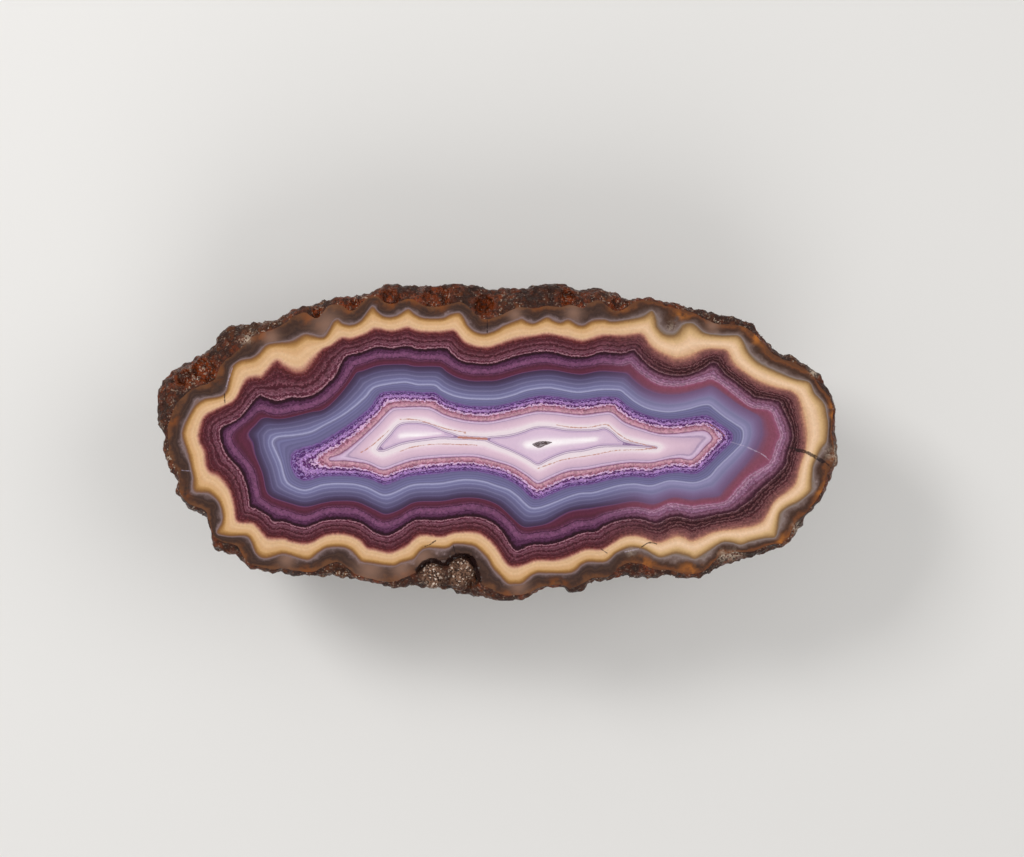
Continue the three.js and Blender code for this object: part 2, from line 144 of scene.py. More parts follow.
MAGENTA_EDGE = [
    (-42.5, 0), (-42.6, 1), (-41.9, 2), (-39.6, 3.7), (-38.3, 4.8), (-36.4, 4.2), (-34.6, 4.2), (-31, 5),
    (-28, 6.1), (-25.7, 8.1), (-24.4, 9.6), (-22.8, 12.1), (-21.8, 12.4), (-19.1, 13.3), (-16.2, 13.4),
    (-14.8, 13.5), (-13.2, 13.1), (-9.1, 13), (-8.2, 12.5), (-6.9, 11.7), (-5.5, 11.1), (-3.9, 10.8),
    (-2.1, 10.8), (0, 10.9), (4.8, 12.2), (8.2, 12.6), (12.5, 11.9), (15.4, 12.2), (17, 12.5), (20.5, 12.3),
    (21.6, 12.6), (22.5, 11.7), (25, 9.9), (26.4, 9.2), (28, 9), (29.8, 9), (33.4, 9.8), (35, 10.1),
    (38.5, 7.6), (41.2, 5.6), (43.7, 5.2), (44.6, 4.7), (45, 3.7), (45.9, 1), (45.4, 0), (44.6, -2.5),
    (44.1, -3.4), (41.8, -4.8), (40.5, -5.7), (38.5, -8), (37.6, -9.1), (36.6, -9.7), (33.4, -10.1),
    (31.8, -10.3), (28, -9.9), (25.5, -10.9), (22.3, -10.5), (18.8, -11.1), (17, -11.6), (15.5, -12.3),
    (12.5, -12.6), (9.6, -14), (6.8, -14.3), (5.4, -14.6), (3.9, -14.3), (2.7, -13), (0, -10.8),
    (-2.6, -9.9), (-4.2, -9.7), (-7.3, -10.1), (-10.1, -10.4), (-13.2, -10.5), (-15.9, -12), (-18, -12.7),
    (-19.1, -12.4), (-21.4, -11.1), (-22.8, -10.5), (-26.2, -10.3), (-28, -10.5), (-31, -11.6),
    (-33.7, -10.9), (-36.4, -10), (-37.4, -9.3), (-38, -8.8), (-38.3, -7.5), (-39, -4.6), (-39.9, -3.2),
]
BLUE_EDGE = [
    (-39.4, 0), (-40.1, 1.3), (-38.9, 2.8), (-38, 3.7), (-37.1, 3.9), (-35.5, 3.7), (-33.7, 3.9),
    (-30.1, 4.8), (-28, 5.2), (-25.7, 7.2), (-23.4, 10.1), (-22.6, 11.2), (-21.8, 11.4), (-19.1, 12.3),
    (-14.8, 12.5), (-13.4, 12.2), (-9.1, 12.1), (-8.2, 11.4), (-6.9, 10.6), (-5.5, 10.1), (-3.9, 9.8),
    (-2.1, 9.8), (0, 9.9), (4.6, 11.2), (8.6, 11.6), (12.5, 11), (13.9, 10.9), (16.8, 11.4), (20, 11.2),
    (21.1, 11), (22, 10.1), (24.1, 8.5), (26.8, 7.6), (29.8, 7.6), (33.4, 8.5), (34.8, 8.9), (36.6, 7.8),
    (39.1, 6), (41.6, 4.6), (42.5, 3.9), (42.8, 2.4), (42.8, 1), (41.8, -1.1), (40.3, -3.4), (38.5, -5.5),
    (36.6, -7.7), (35.9, -8.6), (33.4, -8.9), (31.8, -9.2), (28.7, -8.8), (25.5, -9.9), (22.3, -9.5),
    (18.8, -10.1), (15.4, -10.6), (12.1, -11.1), (10.7, -11.7), (8, -13.2), (5.4, -13.7), (4.5, -13.7),
    (3.6, -13.2), (1.4, -11.1), (0, -10), (-2.6, -9.1), (-5.9, -9), (-8.7, -9.5), (-13.2, -9.7),
    (-15.9, -11), (-18, -11.6), (-20.1, -10.7), (-22.8, -9.6), (-26.2, -9.5), (-28, -9.8), (-31, -10.4),
    (-33.9, -9.7), (-36.4, -8.8), (-37.2, -7.9), (-37.8, -5.2), (-39, -2),
]
PALE_BLUE_LINE = [
    (-36.2, 0), (-35.5, 0.7), (-32.8, 1), (-30.1, 1.5), (-28, 2.6), (-24.4, 4.6), (-21.2, 7.2),
    (-20.1, 8.5), (-19.1, 9), (-14.8, 9.6), (-12.8, 9.2), (-10, 9.1), (-9.1, 8.4), (-7.5, 7.6), (-5.7, 7.1),
    (-3.9, 6.9), (0, 6.9), (2.7, 7.5), (5, 8.3), (8.2, 8.7), (9.8, 8.5), (12.5, 8), (13.9, 8), (17, 8.4),
    (20, 8.3), (20.7, 7.8), (22.3, 6.5), (24.1, 5.5), (25.9, 5), (28, 4.8), (30.7, 5.2), (34.2, 6),
    (35.5, 5.1), (36.9, 4), (38.7, 2.8), (39.8, 1.9), (39.7, 0), (38.7, -1.2), (35.7, -4.1), (34.6, -5.4),
    (33.4, -6.1), (31.9, -6.5), (28, -6.2), (25, -7), (22.3, -6.7), (19.6, -7), (15.7, -8.1), (13.2, -8.3),
    (8.6, -10), (7.1, -10.5), (5.7, -10.6), (4.8, -10), (3.6, -8.8), (2.1, -7.7), (0, -7), (-2.1, -6.3),
    (-5.1, -6), (-9.1, -6.6), (-13.7, -6.9), (-18, -8.5), (-20.9, -7.3), (-23.5, -6.7), (-28, -6.8),
    (-31, -7.7), (-33, -7.1), (-34, -6.2), (-34.9, -3.2), (-35.6, -1.6),
]
VIOLET_EDGE = [
    (-33.1, -3.4), (-33, -2.3), (-32.1, -1.6), (-29.2, -0.7), (-26.9, 0.5), (-22.5, 3.5), (-20.1, 5.6),
    (-19.2, 7.1), (-18.3, 7.9), (-14.4, 8), (-11.6, 7.8), (-10.1, 7.9), (-8, 6.6), (-6.6, 6.2), (-5, 5.8),
    (-3, 5.6), (0, 5.7), (3.2, 6.4), (6.4, 7.2), (7.9, 7.3), (10.7, 7), (12.3, 6.7), (13.9, 6.7),
    (17.1, 7.1), (19.6, 7), (20.5, 6.2), (21.8, 5.3), (24.6, 4.1), (28, 3.5), (31.6, 3.8), (34.2, 4),
    (36, 2.8), (37.7, 1.6), (38, 0.8), (37.8, 0), (35.9, -1.8), (33.2, -4.4), (32.1, -4.9), (30.7, -4.8),
    (29.2, -4.7), (26.4, -5.2), (25, -5.6), (22, -5.4), (18.4, -5.9), (14.8, -6.7), (11.6, -7.1),
    (8.6, -8.3), (6.8, -9), (5.9, -8.9), (3.9, -7.1), (1.2, -5.5), (0, -5.2), (-3.4, -4.5), (-6.9, -4.5),
    (-10.1, -4.9), (-13.5, -5.2), (-15, -5.5), (-17.5, -6.5), (-18.3, -6.6), (-20.7, -5.7), (-24.1, -5.3),
    (-28, -5.4), (-31, -6), (-32.1, -5.5), (-32.8, -4.6),
]
PALE_EDGE = [
    (-27, -2.8), (-25, -2), (-22.4, 0), (-19.4, 2.8), (-16.9, 5.3), (-15.5, 5.5), (-10.9, 5.5), (-8.5, 4.3),
    (-6.9, 3.8), (-5, 3.4), (-3, 3.2), (-1.2, 3.2), (0, 3.4), (3.2, 4.1), (6.4, 4.8), (8, 4.8), (9.6, 4.7),
    (12.9, 4.3), (14.5, 4.3), (17.5, 4.7), (18.6, 4.7), (20.7, 3.1), (23.6, 2), (26.6, 1.2), (29.8, 1.3),
    (33.2, 1.7), (34.1, 1.5), (34.8, 0.6), (33.9, -0.4), (31.6, -2.7), (29.8, -2.5), (28, -2.6), (25, -3.2),
    (21.4, -3.2), (17.9, -3.7), (14.6, -4.3), (11.6, -4.6), (8.6, -5.8), (6.8, -6.6), (6.1, -6.3),
    (5, -5.4), (2.5, -3.9), (0, -3.1), (-3.4, -2.3), (-6.9, -2.3), (-10.5, -2.5), (-13.7, -2.9),
    (-16.4, -3.8), (-18.4, -4.4), (-20.9, -3.4), (-24.4, -2.9),
]
EYES = [
    [(-19.1, -1.2), (-17.3, 0.9), (-15.4, 2.8), (-11.4, 2.8), (-8.4, 1.6), (-7.3, 1.25), (-6.2, 0.78),
     (-9, 0.85), (-12, 0.5), (-15.1, 0), (-17, -0.7), (-18.3, -1.2)],
    [(-1.5, 0.5), (0, 0.7), (2.1, 0.9), (4.3, 1.5), (6.1, 2.15), (7.9, 2.3), (9.5, 2.1), (11.4, 1.8),
     (16.1, 1.8), (17.5, 2.1), (18.6, 1.5), (20.5, 0), (25.9, -0.9), (23.2, -0.6), (17, -0.5), (14.3, -1.1),
     (11.4, -1.5), (9.6, -2.1), (7.9, -2.9), (6.7, -3.5), (5.4, -2.8), (3.9, -2), (2, -1.1), (0, -0.3)],
]
BAND_LINES = [
    LAVENDER_EDGE, MAROON_EDGE, BLACK_EDGE, MAGENTA_EDGE, BLUE_EDGE, PALE_BLUE_LINE, VIOLET_EDGE, PALE_EDGE,
]
# The line that each eye fades to: the pocket and the milky streak beside it, and the left eye's axis.
HEARTS = [[(-15.5, 0.9), (-9, 1.3)], [(5, -0.5), (9, -0.1), (16, 0.4)]]
# The small open pocket, and how far its floor lies below the face.
POCKET = [(5.8, -0.35), (6.9, 0.1), (8, 0.15), (9, -0.05), (7.8, -0.6), (7, -0.95), (6.5, -0.85)]
POCKET_DEPTH = 0.6
# Rusty threads round the eyes, mm.
THREADS = [
    [(9.7, 2.8), (10.7, 2.6), (12.5, 2.35), (15.2, 2.4), (17.1, 2.8), (18, 2.8), (18.9, 2), (20.2, 1),
     (21.4, 0.3), (25.9, -0.9)],
    [(6.7, -4.3), (8.6, -3.6), (10.7, -2.9), (14.3, -2.3), (16.1, -2), (19.6, -1.35), (23.2, -1.25),
     (25.9, -1)],
    [(-15.6, 3.7), (-13, 3.6), (-10.5, 2.9), (-8, 2.1), (-5, 1.6)],
    [(-15.6, -1.5), (-13.5, -0.8), (-10, -0.35), (-6, -0.4), (-3.2, -0.5)],
    [(-22, -1.7), (-20.5, -0.8), (-18.5, 0.9), (-17.3, 2)],
    [(34.5, 2.9), (36, 2), (36.9, 1)],
]
# The red streak that joins the eyes, in the narrowest place of the pale zone.
NECK = [(-6.2, 0.75), (-4, 0.65), (-1.6, 0.5)]
DARK_CRACKS = [
    [(47.4, -0.9), (50, -1.4), (51.7, -2.2), (53, -3), (54.2, -4.2)],
    [(48.6, -1.5), (50, -1.75), (51.4, -2.5), (52.8, -3.4)],
    [(-1.5, 19.7), (-1.5, 17.7)],
    [(-11.6, -16.9), (-10.8, -16.6), (-9.9, -16)],
    [(-7, -16.8), (-6.5, -18.7)],
    [(23.5, -17), (24.7, -16.3), (26, -16.5)],
    [(16.9, -17.3), (17.9, -18)],
    [(-44.1, 7.8), (-44, 6.3)],
]
PALE_CRACKS = [
    [(38, 0), (40.5, -0.8), (42.3, -1.6), (43.5, -2.3), (44.1, -2.9)],
    [(-51, -4.6), (-49.6, -4.7)],
    [(-43.8, 9), (-42.8, 12)],
    [(20.8, -17.8), (23, -17.3)],
]
# Places near the rim where rust has soaked in: x, y and reach, mm.
RUST_SPOTS = [
    (-19.5, 24, 2.4), (-13.5, 23.5, 2.6), (-23.4, 21.4, 1.6), (-17, 22.6, 1.7), (-9.6, 22.4, 2.6),
    (-2, 21.5, 2.6), (19.8, 22.3, 2.2), (41.7, 17.3, 2.4), (-30, 20.2, 2.4), (-38, 17.5, 2.5),
    (-46, 11, 2.8), (-52.4, 3.5, 1.6), (-50.5, -8, 2), (-42, -18, 2), (-30.5, -21, 2), (-15, -21.5, 2.2),
    (2.5, -24.6, 2), (10, -23, 2.4), (24, -20, 2.6), (31.5, -20.5, 2), (46.5, -16, 2), (53, -8, 2),
    (54.2, 5, 1.6), (30, 20, 1.8), (7, 22.5, 2),
]
# Places where the outer band is milky and pinkish: x, y and reach, mm.
MILKY_SPOTS = [
    (-27.5, 19, 3.2), (-36.5, 16.8, 2), (-20.5, -20.6, 3.2), (-15.5, -20.4, 2.4), (3.6, -23.2, 2.2),
    (-12, -18.6, 2.6), (12.5, 20.9, 2), (3, 20.6, 1.6), (35, 18.8, 1.6), (-34, -19, 2),
]
# Sparkling lumps of quartz at the lower edge: x, y and reach, mm.
LUMPS = [(-10.45, -21.4, 1.9), (-5.75, -20.75, 2.2)]
# Deep gaps behind them: grooves in the mesh, painted dark as shade.
GAPS = [
    [(-12.6, -20.8), (-11.6, -19.8), (-10.3, -19.4), (-8.9, -20)],
    [(-8.3, -20.1), (-7.2, -19.1), (-5.6, -18.6), (-4.2, -19), (-3.5, -20.6), (-3, -22.4)],
]
GAP_DEPTH = 1.2
# Pale quartz in the outer band and the crust: x, y and reach, mm.
QUARTZ_SPOTS = [
    (54.2, -1.9, 1.4), (51.3, 11.2, 0.8), (28.3, 18.7, 0.9), (21.8, -17.8, 0.9), (36.6, -18.2, 1),
    (38.4, -18.3, 1.2), (48.4, -13.8, 0.9), (-40.2, 16.6, 0.9),
]
# Reddish cups in the crust beside the face: x, y and reach, mm.
CUPS = [
    (-47.2, 11.3, 2), (-50.6, 10.3, 1.3), (-29.1, 20.9, 0.9), (-23.4, 22.1, 1.5), (-17.2, 23, 1.7),
    (-9.6, 22.9, 2.4), (-2, 22, 1.7), (19.8, 22, 1.6), (11.5, 23.2, 1.5),
]
# Each band's colours on its way inwards: (share of the band's width, sRGB hex).
BANDS = [
    [(0, "64402A"), (0.12, "583826"), (0.26, "422C24"), (0.4, "3A2720"), (0.52, "483229"), (0.64, "3A2924"),
     (0.74, "46332F"), (0.84, "5E4B48"), (0.91, "7E6A6A"), (0.95, "785F58"), (1, "7A5540")],
    [(0, "74523E"), (0.05, "7E5632"), (0.12, "946A3A"), (0.2, "B08452"), (0.28, "C89E6E"), (0.42, "CCA176"),
     (0.55, "D6B088"), (0.68, "D0A880"), (0.76, "D4AE88"), (0.85, "C2937A"), (0.93, "9C6656"),
     (1, "784240")],
    [(0, "703636"), (0.07, "582224"), (0.14, "481A1E"), (0.18, "6A363E"), (0.2, "4C1E26"), (0.3, "44161F"),
     (0.34, "5E2E38"), (0.36, "461A24"), (0.47, "74444E"), (0.49, "50222C"), (0.6, "3E121E"),
     (0.67, "764854"), (0.69, "522430"), (0.81, "7E505E"), (0.83, "4C1E2C"), (0.92, "5A2636"),
     (0.965, "A87C88"), (1, "80505C")],
    [(0, "3A101E"), (0.04, "260714"), (0.17, "28091A"), (0.28, "48223E"), (0.36, "582E4C"),
     (0.41, "3E1834"), (0.47, "633858"), (0.64, "744564"), (0.82, "6A3D5C"), (0.9, "3A132C"),
     (0.94, "663850"), (1, "50223C")],
    [(0, "552840"), (0.2, "4E2232"), (0.5, "5A263A"), (0.75, "54243A"), (0.9, "6A3E5A"), (0.95, "56345A"),
     (1, "48345A")],
    [(0, "3E2C44"), (0.12, "42334E"), (0.24, "4C4160"), (0.3, "5E5578"), (0.35, "524A6A"), (0.47, "5C5678"),
     (0.53, "716C8E"), (0.58, "625D80"), (0.7, "68648A"), (0.76, "8280A4"), (0.82, "6C6A90"),
     (0.9, "7C7A9E"), (0.96, "A09EC0"), (1, "8886A6")],
    [(0, "7A7898"), (0.1, "666286"), (0.2, "74729A"), (0.26, "646086"), (0.42, "6E6A90"), (0.5, "605C80"),
     (0.66, "6A648A"), (0.78, "5F587E"), (0.87, "765A90"), (0.93, "684C82"), (1, "522E68")],
    [(0, "7A6294"), (0.04, "8A70A4"), (0.07, "4C2864"), (0.13, "522E64"), (0.17, "A480B4"),
     (0.21, "865E9E"), (0.26, "B08CBE"), (0.31, "80568E"), (0.35, "481A50"), (0.4, "501E54"),
     (0.44, "B490BA"), (0.5, "D0ACCA"), (0.55, "AE7E96"), (0.59, "6E2E48"), (0.64, "A46E84"),
     (0.78, "B98796"), (0.87, "BC90A0"), (0.92, "7A4460"), (0.96, "A480A0"), (1, "BC9CB8")],
    [(0, "C0A2BE"), (0.06, "D0B6CF"), (0.1, "A28AA6"), (0.14, "C4A6BC"), (0.3, "D2B3C4"), (0.45, "D8BACA"),
     (0.58, "E2CAD5"), (0.68, "E6D7DC"), (0.87, "E3D3DA"), (0.9, "94789A"), (0.93, "E0CFDA"),
     (1, "8A6E92")],
    [(0, "9A80A2"), (0.05, "D2B8D0"), (0.12, "B49ABA"), (0.16, "D0B5CA"), (0.4, "D5BBD0"), (0.6, "DCC6D6"),
     (0.8, "EFE2E8"), (1, "F8F2F4")],
]
# The same for the bands towards the right end, where the cream is paler, the maroon nearly black, and the
# magenta broad and soft.
RIGHT_BANDS = {
    0: [(0, "5E3A26"), (0.12, "6E4024"), (0.28, "523224"), (0.42, "402A20"), (0.55, "4C362E"),
        (0.68, "5E4A44"), (0.8, "6E5A54"), (0.88, "857470"), (0.93, "7C6A60"), (1, "7E6448")],
    1: [(0, "78583E"), (0.06, "8E6C46"), (0.16, "B38E60"), (0.28, "CFAA7C"), (0.42, "DEB894"),
        (0.55, "E5C2A0"), (0.68, "DCB491"), (0.8, "CFA680"), (0.88, "B88468"), (0.94, "9C6A5A"),
        (1, "8A5A50")],
    2: [(0, "8A5A50"), (0.08, "7C4C48"), (0.16, "6E4040"), (0.22, "7C504E"), (0.26, "5E3234"),
        (0.34, "704446"), (0.38, "4C2428"), (0.46, "40191E"), (0.52, "785052"), (0.56, "3A161C"),
        (0.66, "341218"), (0.72, "6A4244"), (0.76, "300E14"), (0.86, "2C0B13"), (0.9, "5C363A"),
        (0.94, "2A0B13"), (1, "8A6468")],
    3: [(0, "4A2232"), (0.08, "34141F"), (0.2, "4E2638"), (0.34, "7E5468"), (0.46, "64364E"),
        (0.56, "8E6680"), (0.68, "7A4C68"), (0.78, "A27E94"), (0.88, "86526E"), (0.94, "A27C92"),
        (1, "8E5470")],
    4: [(0, "8A4E68"), (0.2, "804458"), (0.5, "7C4456"), (0.75, "744860"), (0.92, "6E5070"), (1, "685274")],
    5: [(0, "6C5272"), (0.14, "72597C"), (0.3, "776488"), (0.42, "7C6D92"), (0.52, "7E7699"),
        (0.58, "777295"), (0.7, "807B9E"), (0.8, "8C86AA"), (0.9, "8580A4"), (0.96, "A09CBC"),
        (1, "8886A6")],
}
# Every band towards the right end.
RIGHT_SIDE = [RIGHT_BANDS.get(zone, band) for zone, band in enumerate(BANDS)]
# How far grains shift the bands' lines, and how strongly they speckle them, against the place on the way
# inwards: the violet and maroon bands are made of crystals, the blue and white ones of smooth chalcedony.
LINE_SHIFT = [
    (0.5, 0.35), (0.9, 0.1), (1.1, 0.1), (1.9, 0.12), (2.15, 0.45), (2.9, 0.42), (3.1, 0.35), (3.6, 0.6),
    (3.85, 0.3), (4.5, 0.2), (5, 0.06), (6.7, 0.06), (6.95, 0.5), (7.3, 0.62), (7.7, 0.55), (7.9, 0.12),
    (8, 0.05), (10, 0.05),
]
SPECKLES = [
    (0.5, 0.25), (1, 0.12), (1.75, 0.2), (2.1, 0.95), (3, 0.95), (3.2, 0.7), (3.8, 1), (4.1, 0.4),
    (5, 0.06), (6.7, 0.06), (7, 1), (7.85, 0.9), (8, 0.2), (8.2, 0.07), (10, 0.07),
]

# What each point of the stone's mesh carries for the materials.
POINT_VALUES = ("band", "rust", "quartz", "thread", "dark_crack", "pale_crack", "lump", "gap", "milk")
# The stone's materials, by their place in its mesh.
RIND, CUT_FACE, POCKET_WALL = range(3)
# A colour ramp holds 32 colours at most, so each of these runs of bands, first to last, has its own.
RAMP_RUNS = ((0, 1), (2, 3), (4, 6), (7, 8), (9, 9))
# How wide a ramp's first and last colour stay clear of the next band's.
RAMP_END = 0.002
# Grit on the rind, mm.
GRIT_SIZE = 0.45
GRIT_HEIGHT = 0.14
# How much of the crust's roughness is left at the rim, and the depth below it where all of it is, mm.
RIM_SHARE = 0.3
RIM_DEPTH = 1.2
# The rind bulges by the stone's fullness at the face, and no more at this depth, mm.
FULL_DEPTH = 14
# How far down the gaps, lumps and cups reach, mm.
UPPER_DEPTH = 6
# Half the width of the gaps, mm.
GAP_REACH = 0.5
# Loose points inside the pocket, for its rough floor.
POCKET_POINTS = 700
# The draw that places the crystals, and how far down the rind the rim's grains reach, mm.
CRYSTAL_SEED = 4
GRAIN_DEPTH = 8
# The floor reaches this far, m, so that its edge stays out of every view.
FLOOR_REACH = 4
# One soft panel makes the gloss; two broad far lights keep the floor even. Each has its kind, a place to
# shine from, its width (m, or radians for a far light) and its power against the panel's.
LIGHTS = {
    "key": ("AREA", (-0.42, 0.34, 0.52), 0.22, 1),
    "fill": ("SUN", (0.5, 0.1, 0.5), 0.75, 0.33),
    "front": ("SUN", (0.05, -0.55, 0.42), 0.7, 0.37),
}
LIT_PLACE = Vector((0, 0, 0.02))
ROOM_LIGHT = 0.52


def linear(text):
    """An sRGB hex colour as linear red, green, blue and alpha."""
    shares = [int(text[i : i + 2], 16) / 255 for i in (0, 2, 4)]
    return (*[c / 12.92 if c <= 0.04045 else ((c + 0.055) / 1.055) ** 2.4 for c in shares], 1.0)


def node(tree, kind, inputs=(), stops=(), **settings):
    """Adds a node. An input is a value, an output, or a node whose first output in use is meant."""
    made = tree.nodes.new(kind)
    for name, value in settings.items():
        setattr(made, name, value)
    for key, value in dict(inputs).items():
        if isinstance(value, bpy.types.Node):
            value = next(output for output in value.outputs if output.enabled)
        if isinstance(value, bpy.types.NodeSocket):
            tree.links.new(value, made.inputs[key])
        else:
            made.inputs[key].default_value = value
    for place, color in stops[2:]:
        made.color_ramp.elements.new(place)
    for stop, (place, color) in zip(made.color_ramp.elements if stops else (), stops):
        stop.position = place
        stop.color = linear(color) if isinstance(color, str) else (color, color, color, 1)
    return made


def new_material(name):
    """A material and its node tree, which is still empty."""
    made = bpy.data.materials.new(name)
    made.use_nodes = True
    made.node_tree.nodes.clear()
    return made, made.node_tree


def smooth_line(points, step, closed=False):
    """A smooth curve through the points, with one point about every step mm."""
    p = np.array(points, float) - MIDDLE
    if closed:
        p = np.vstack([p[-1], p, p[0], p[1]])
    else:
        p = np.vstack([2 * p[0] - p[1], p, 2 * p[-1] - p[-2]])
    made = []
    for a, b, c, d in zip(p, p[1:], p[2:], p[3:]):
        before, length, after = (max(np.hypot(*v), 1e-6) for v in (b - a, c - b, d - c))
        leaving = (c - a) * length / (before + length)
        arriving = (d - b) * length / (length + after)
        count = max(1, round(length / step))
        t = (np.arange(count) / count)[:, None]
        made.append(
            (2 * t**3 - 3 * t**2 + 1) * b + (t**3 - 2 * t**2 + t) * leaving
            + (3 * t**2 - 2 * t**3) * c + (t**3 - t**2) * arriving
        )
    return np.vstack(made if closed else made + [p[-2:-1]])


def inside(points, ring):
    """Which of the points lie inside the closed ring."""
    ax, ay = ring.T
    bx, by = np.roll(ring, -1, 0).T
    rise = np.where(by == ay, 1e-9, by - ay)
    found = []
    for part in np.array_split(points, max(1, len(points) // 3000)):
        x, y = part[:, :1], part[:, 1:]
        crosses = ((ay > y) != (by > y)) & (x < (bx - ax) * (y - ay) / rise + ax)
        found.append(crosses.sum(1) % 2 == 1)
    return np.concatenate(found)


def distance(points, line, closed=False):
    """How far each point is from the line, in mm."""
    ends = np.roll(line, -1, 0) if closed else line[1:]
    starts = line if closed else line[:-1]
    along = ends - starts
    size = np.maximum((along**2).sum(1), 1e-12)
    found = []
    for part in np.array_split(points, max(1, len(points) // 2000)):
        away = part[:, None] - starts
        share = np.clip((away * along).sum(2) / size, 0, 1)
        found.append(np.sqrt(((away - share[..., None] * along) ** 2).sum(2).min(1)))
    return np.concatenate(found)


def nearest(points, lines, closed=False):
    """How far each point is from the nearest of the lines, in mm."""
    return np.minimum.reduce([distance(points, line, closed) for line in lines])


def face_lines(step):
    """The polished face's lines as smooth curves, with a point about every step mm."""
    fine = step * 0.8
    return {
        "rings": [smooth_line(line, step, True) for line in BAND_LINES],
        "eyes": [smooth_line(line, fine, True) for line in EYES],
        "pocket": smooth_line(POCKET, 0.2, True),
        "neck": smooth_line(NECK, fine),
        "thread": [smooth_line(line, fine) for line in THREADS],
        "dark_crack": [smooth_line(line, fine) for line in DARK_CRACKS],
        "pale_crack": [smooth_line(line, fine) for line in PALE_CRACKS],
    }


def band_numbers(points, rim, lines):
    """How many bands lie outside each point of the face, and the share of its own band it has crossed."""
    number = np.zeros(len(points))
    nested = [rim, *lines["rings"]]
    level = sum(inside(points, ring).astype(int) for ring in lines["rings"])
    for zone, outer in enumerate(nested):
        here = level == zone
        if not here.any():
            continue
        out = distance(points[here], outer, True)
        if zone + 1 < len(nested):
            into = distance(points[here], nested[zone + 1], True)
        else:
            found = points[here]
            into = np.minimum(nearest(found, lines["eyes"], True), distance(found, lines["neck"]))
        number[here] = zone + out / np.maximum(out + into, 1e-6)
    # An eye has its outline's colours along 0.5 mm at most, so that its thin tip doesn't fill with them.
    for eye, heart in zip(lines["eyes"], HEARTS):
        here = inside(points, eye)
        out = distance(points[here], eye, True)
        into = distance(points[here], np.array(heart) - MIDDLE)
        share = np.maximum(out / np.maximum(out + into, 1e-6), 0.3 * np.minimum(out / 0.5, 1))
        number[here] = len(nested) + np.clip(share, 0.001, 0.999)
    return number


def modified(mesh, kind, inputs=(), **settings):
    """The mesh as one modifier makes it, with the modifier's settings and its inputs by name."""
    holder = bpy.data.objects.new(mesh.name, mesh)
    bpy.context.scene.collection.objects.link(holder)
    modifier = holder.modifiers.new(kind, kind)
    for name, value in settings.items():
        setattr(modifier, name, value)
    for name, value in dict(inputs).items():
        modifier[name] = value
    bpy.context.view_layer.update()
    made = bpy.data.meshes.new_from_object(holder.evaluated_get(bpy.context.evaluated_depsgraph_get()))
    bpy.data.objects.remove(holder)
    return made


def rings_of(edges):
    """The closed rings of points that the edges form, shortest first."""
    follow = {}
    for edge in edges:
        for vert in edge.verts:
            follow.setdefault(vert, []).append(edge)
    rings = []
    while follow:
        vert, links = next(iter(follow.items()))
        ring, edge = [vert], links[0]
        while True:
            del follow[vert]
            vert = edge.other_vert(vert)
            if vert not in follow:
                break
            ring.append(vert)
            edge = follow[vert][0] if follow[vert][0] != edge else follow[vert][1]
        rings.append(ring)
    return sorted(rings, key=len)


def skin_of_stone(settings):
    """The rind from the CAD solid, smoothed and open at the face, and the ring of its rim's points."""
    skin = bmesh.new()
    skin.from_mesh(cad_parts["agate"].data)
    bmesh.ops.remove_doubles(skin, verts=skin.verts, dist=2e-6)
    # The solid's own pocket goes, all within 4.5 mm of its middle, and then its flat face.
    pocket = smooth_line(POCKET, 1, True) * MM
    middle = Vector((*pocket.mean(0), TOP))
    hole = [v for v in skin.verts if (v.co - middle).length < 4.5 * MM]
    bmesh.ops.delete(skin, geom=hole, context="VERTS")
    flat = [f for f in skin.faces if all(v.co.z > TOP - 0.01 * MM for v in f.verts)]
    bmesh.ops.delete(skin, geom=flat, context="FACES")
    bmesh.ops.delete(skin, geom=[v for v in skin.verts if not v.link_faces], context="VERTS")
    bend = math.radians(60)
    bmesh.ops.join_triangles(
        skin, faces=skin.faces, angle_face_threshold=bend, angle_shape_threshold=bend
    )
    rough = bpy.data.meshes.new("rough_skin")
    skin.to_mesh(rough)
    skin.free()
    skin = bmesh.new()
    skin.from_mesh(modified(rough, "SUBSURF", levels=1, render_levels=1, boundary_smooth="ALL"))
    # New layers come before any point is kept, because each one renews the points.
    for name in POINT_VALUES:
        skin.verts.layers.float.new(name)
    near = TOP - settings.fine_reach
    fine = [
        e for e in skin.edges
        if max(v.co.z for v in e.verts) > near and e.calc_length() > settings.skin_step
    ]
    bmesh.ops.subdivide_edges(skin, edges=fine, cuts=1, use_grid_fill=True)
    bmesh.ops.triangulate(skin, faces=skin.faces)
    *small, rim = rings_of([e for e in skin.edges if e.is_boundary])
    for ring in small:
        skin.faces.new(ring)
    return skin, rim


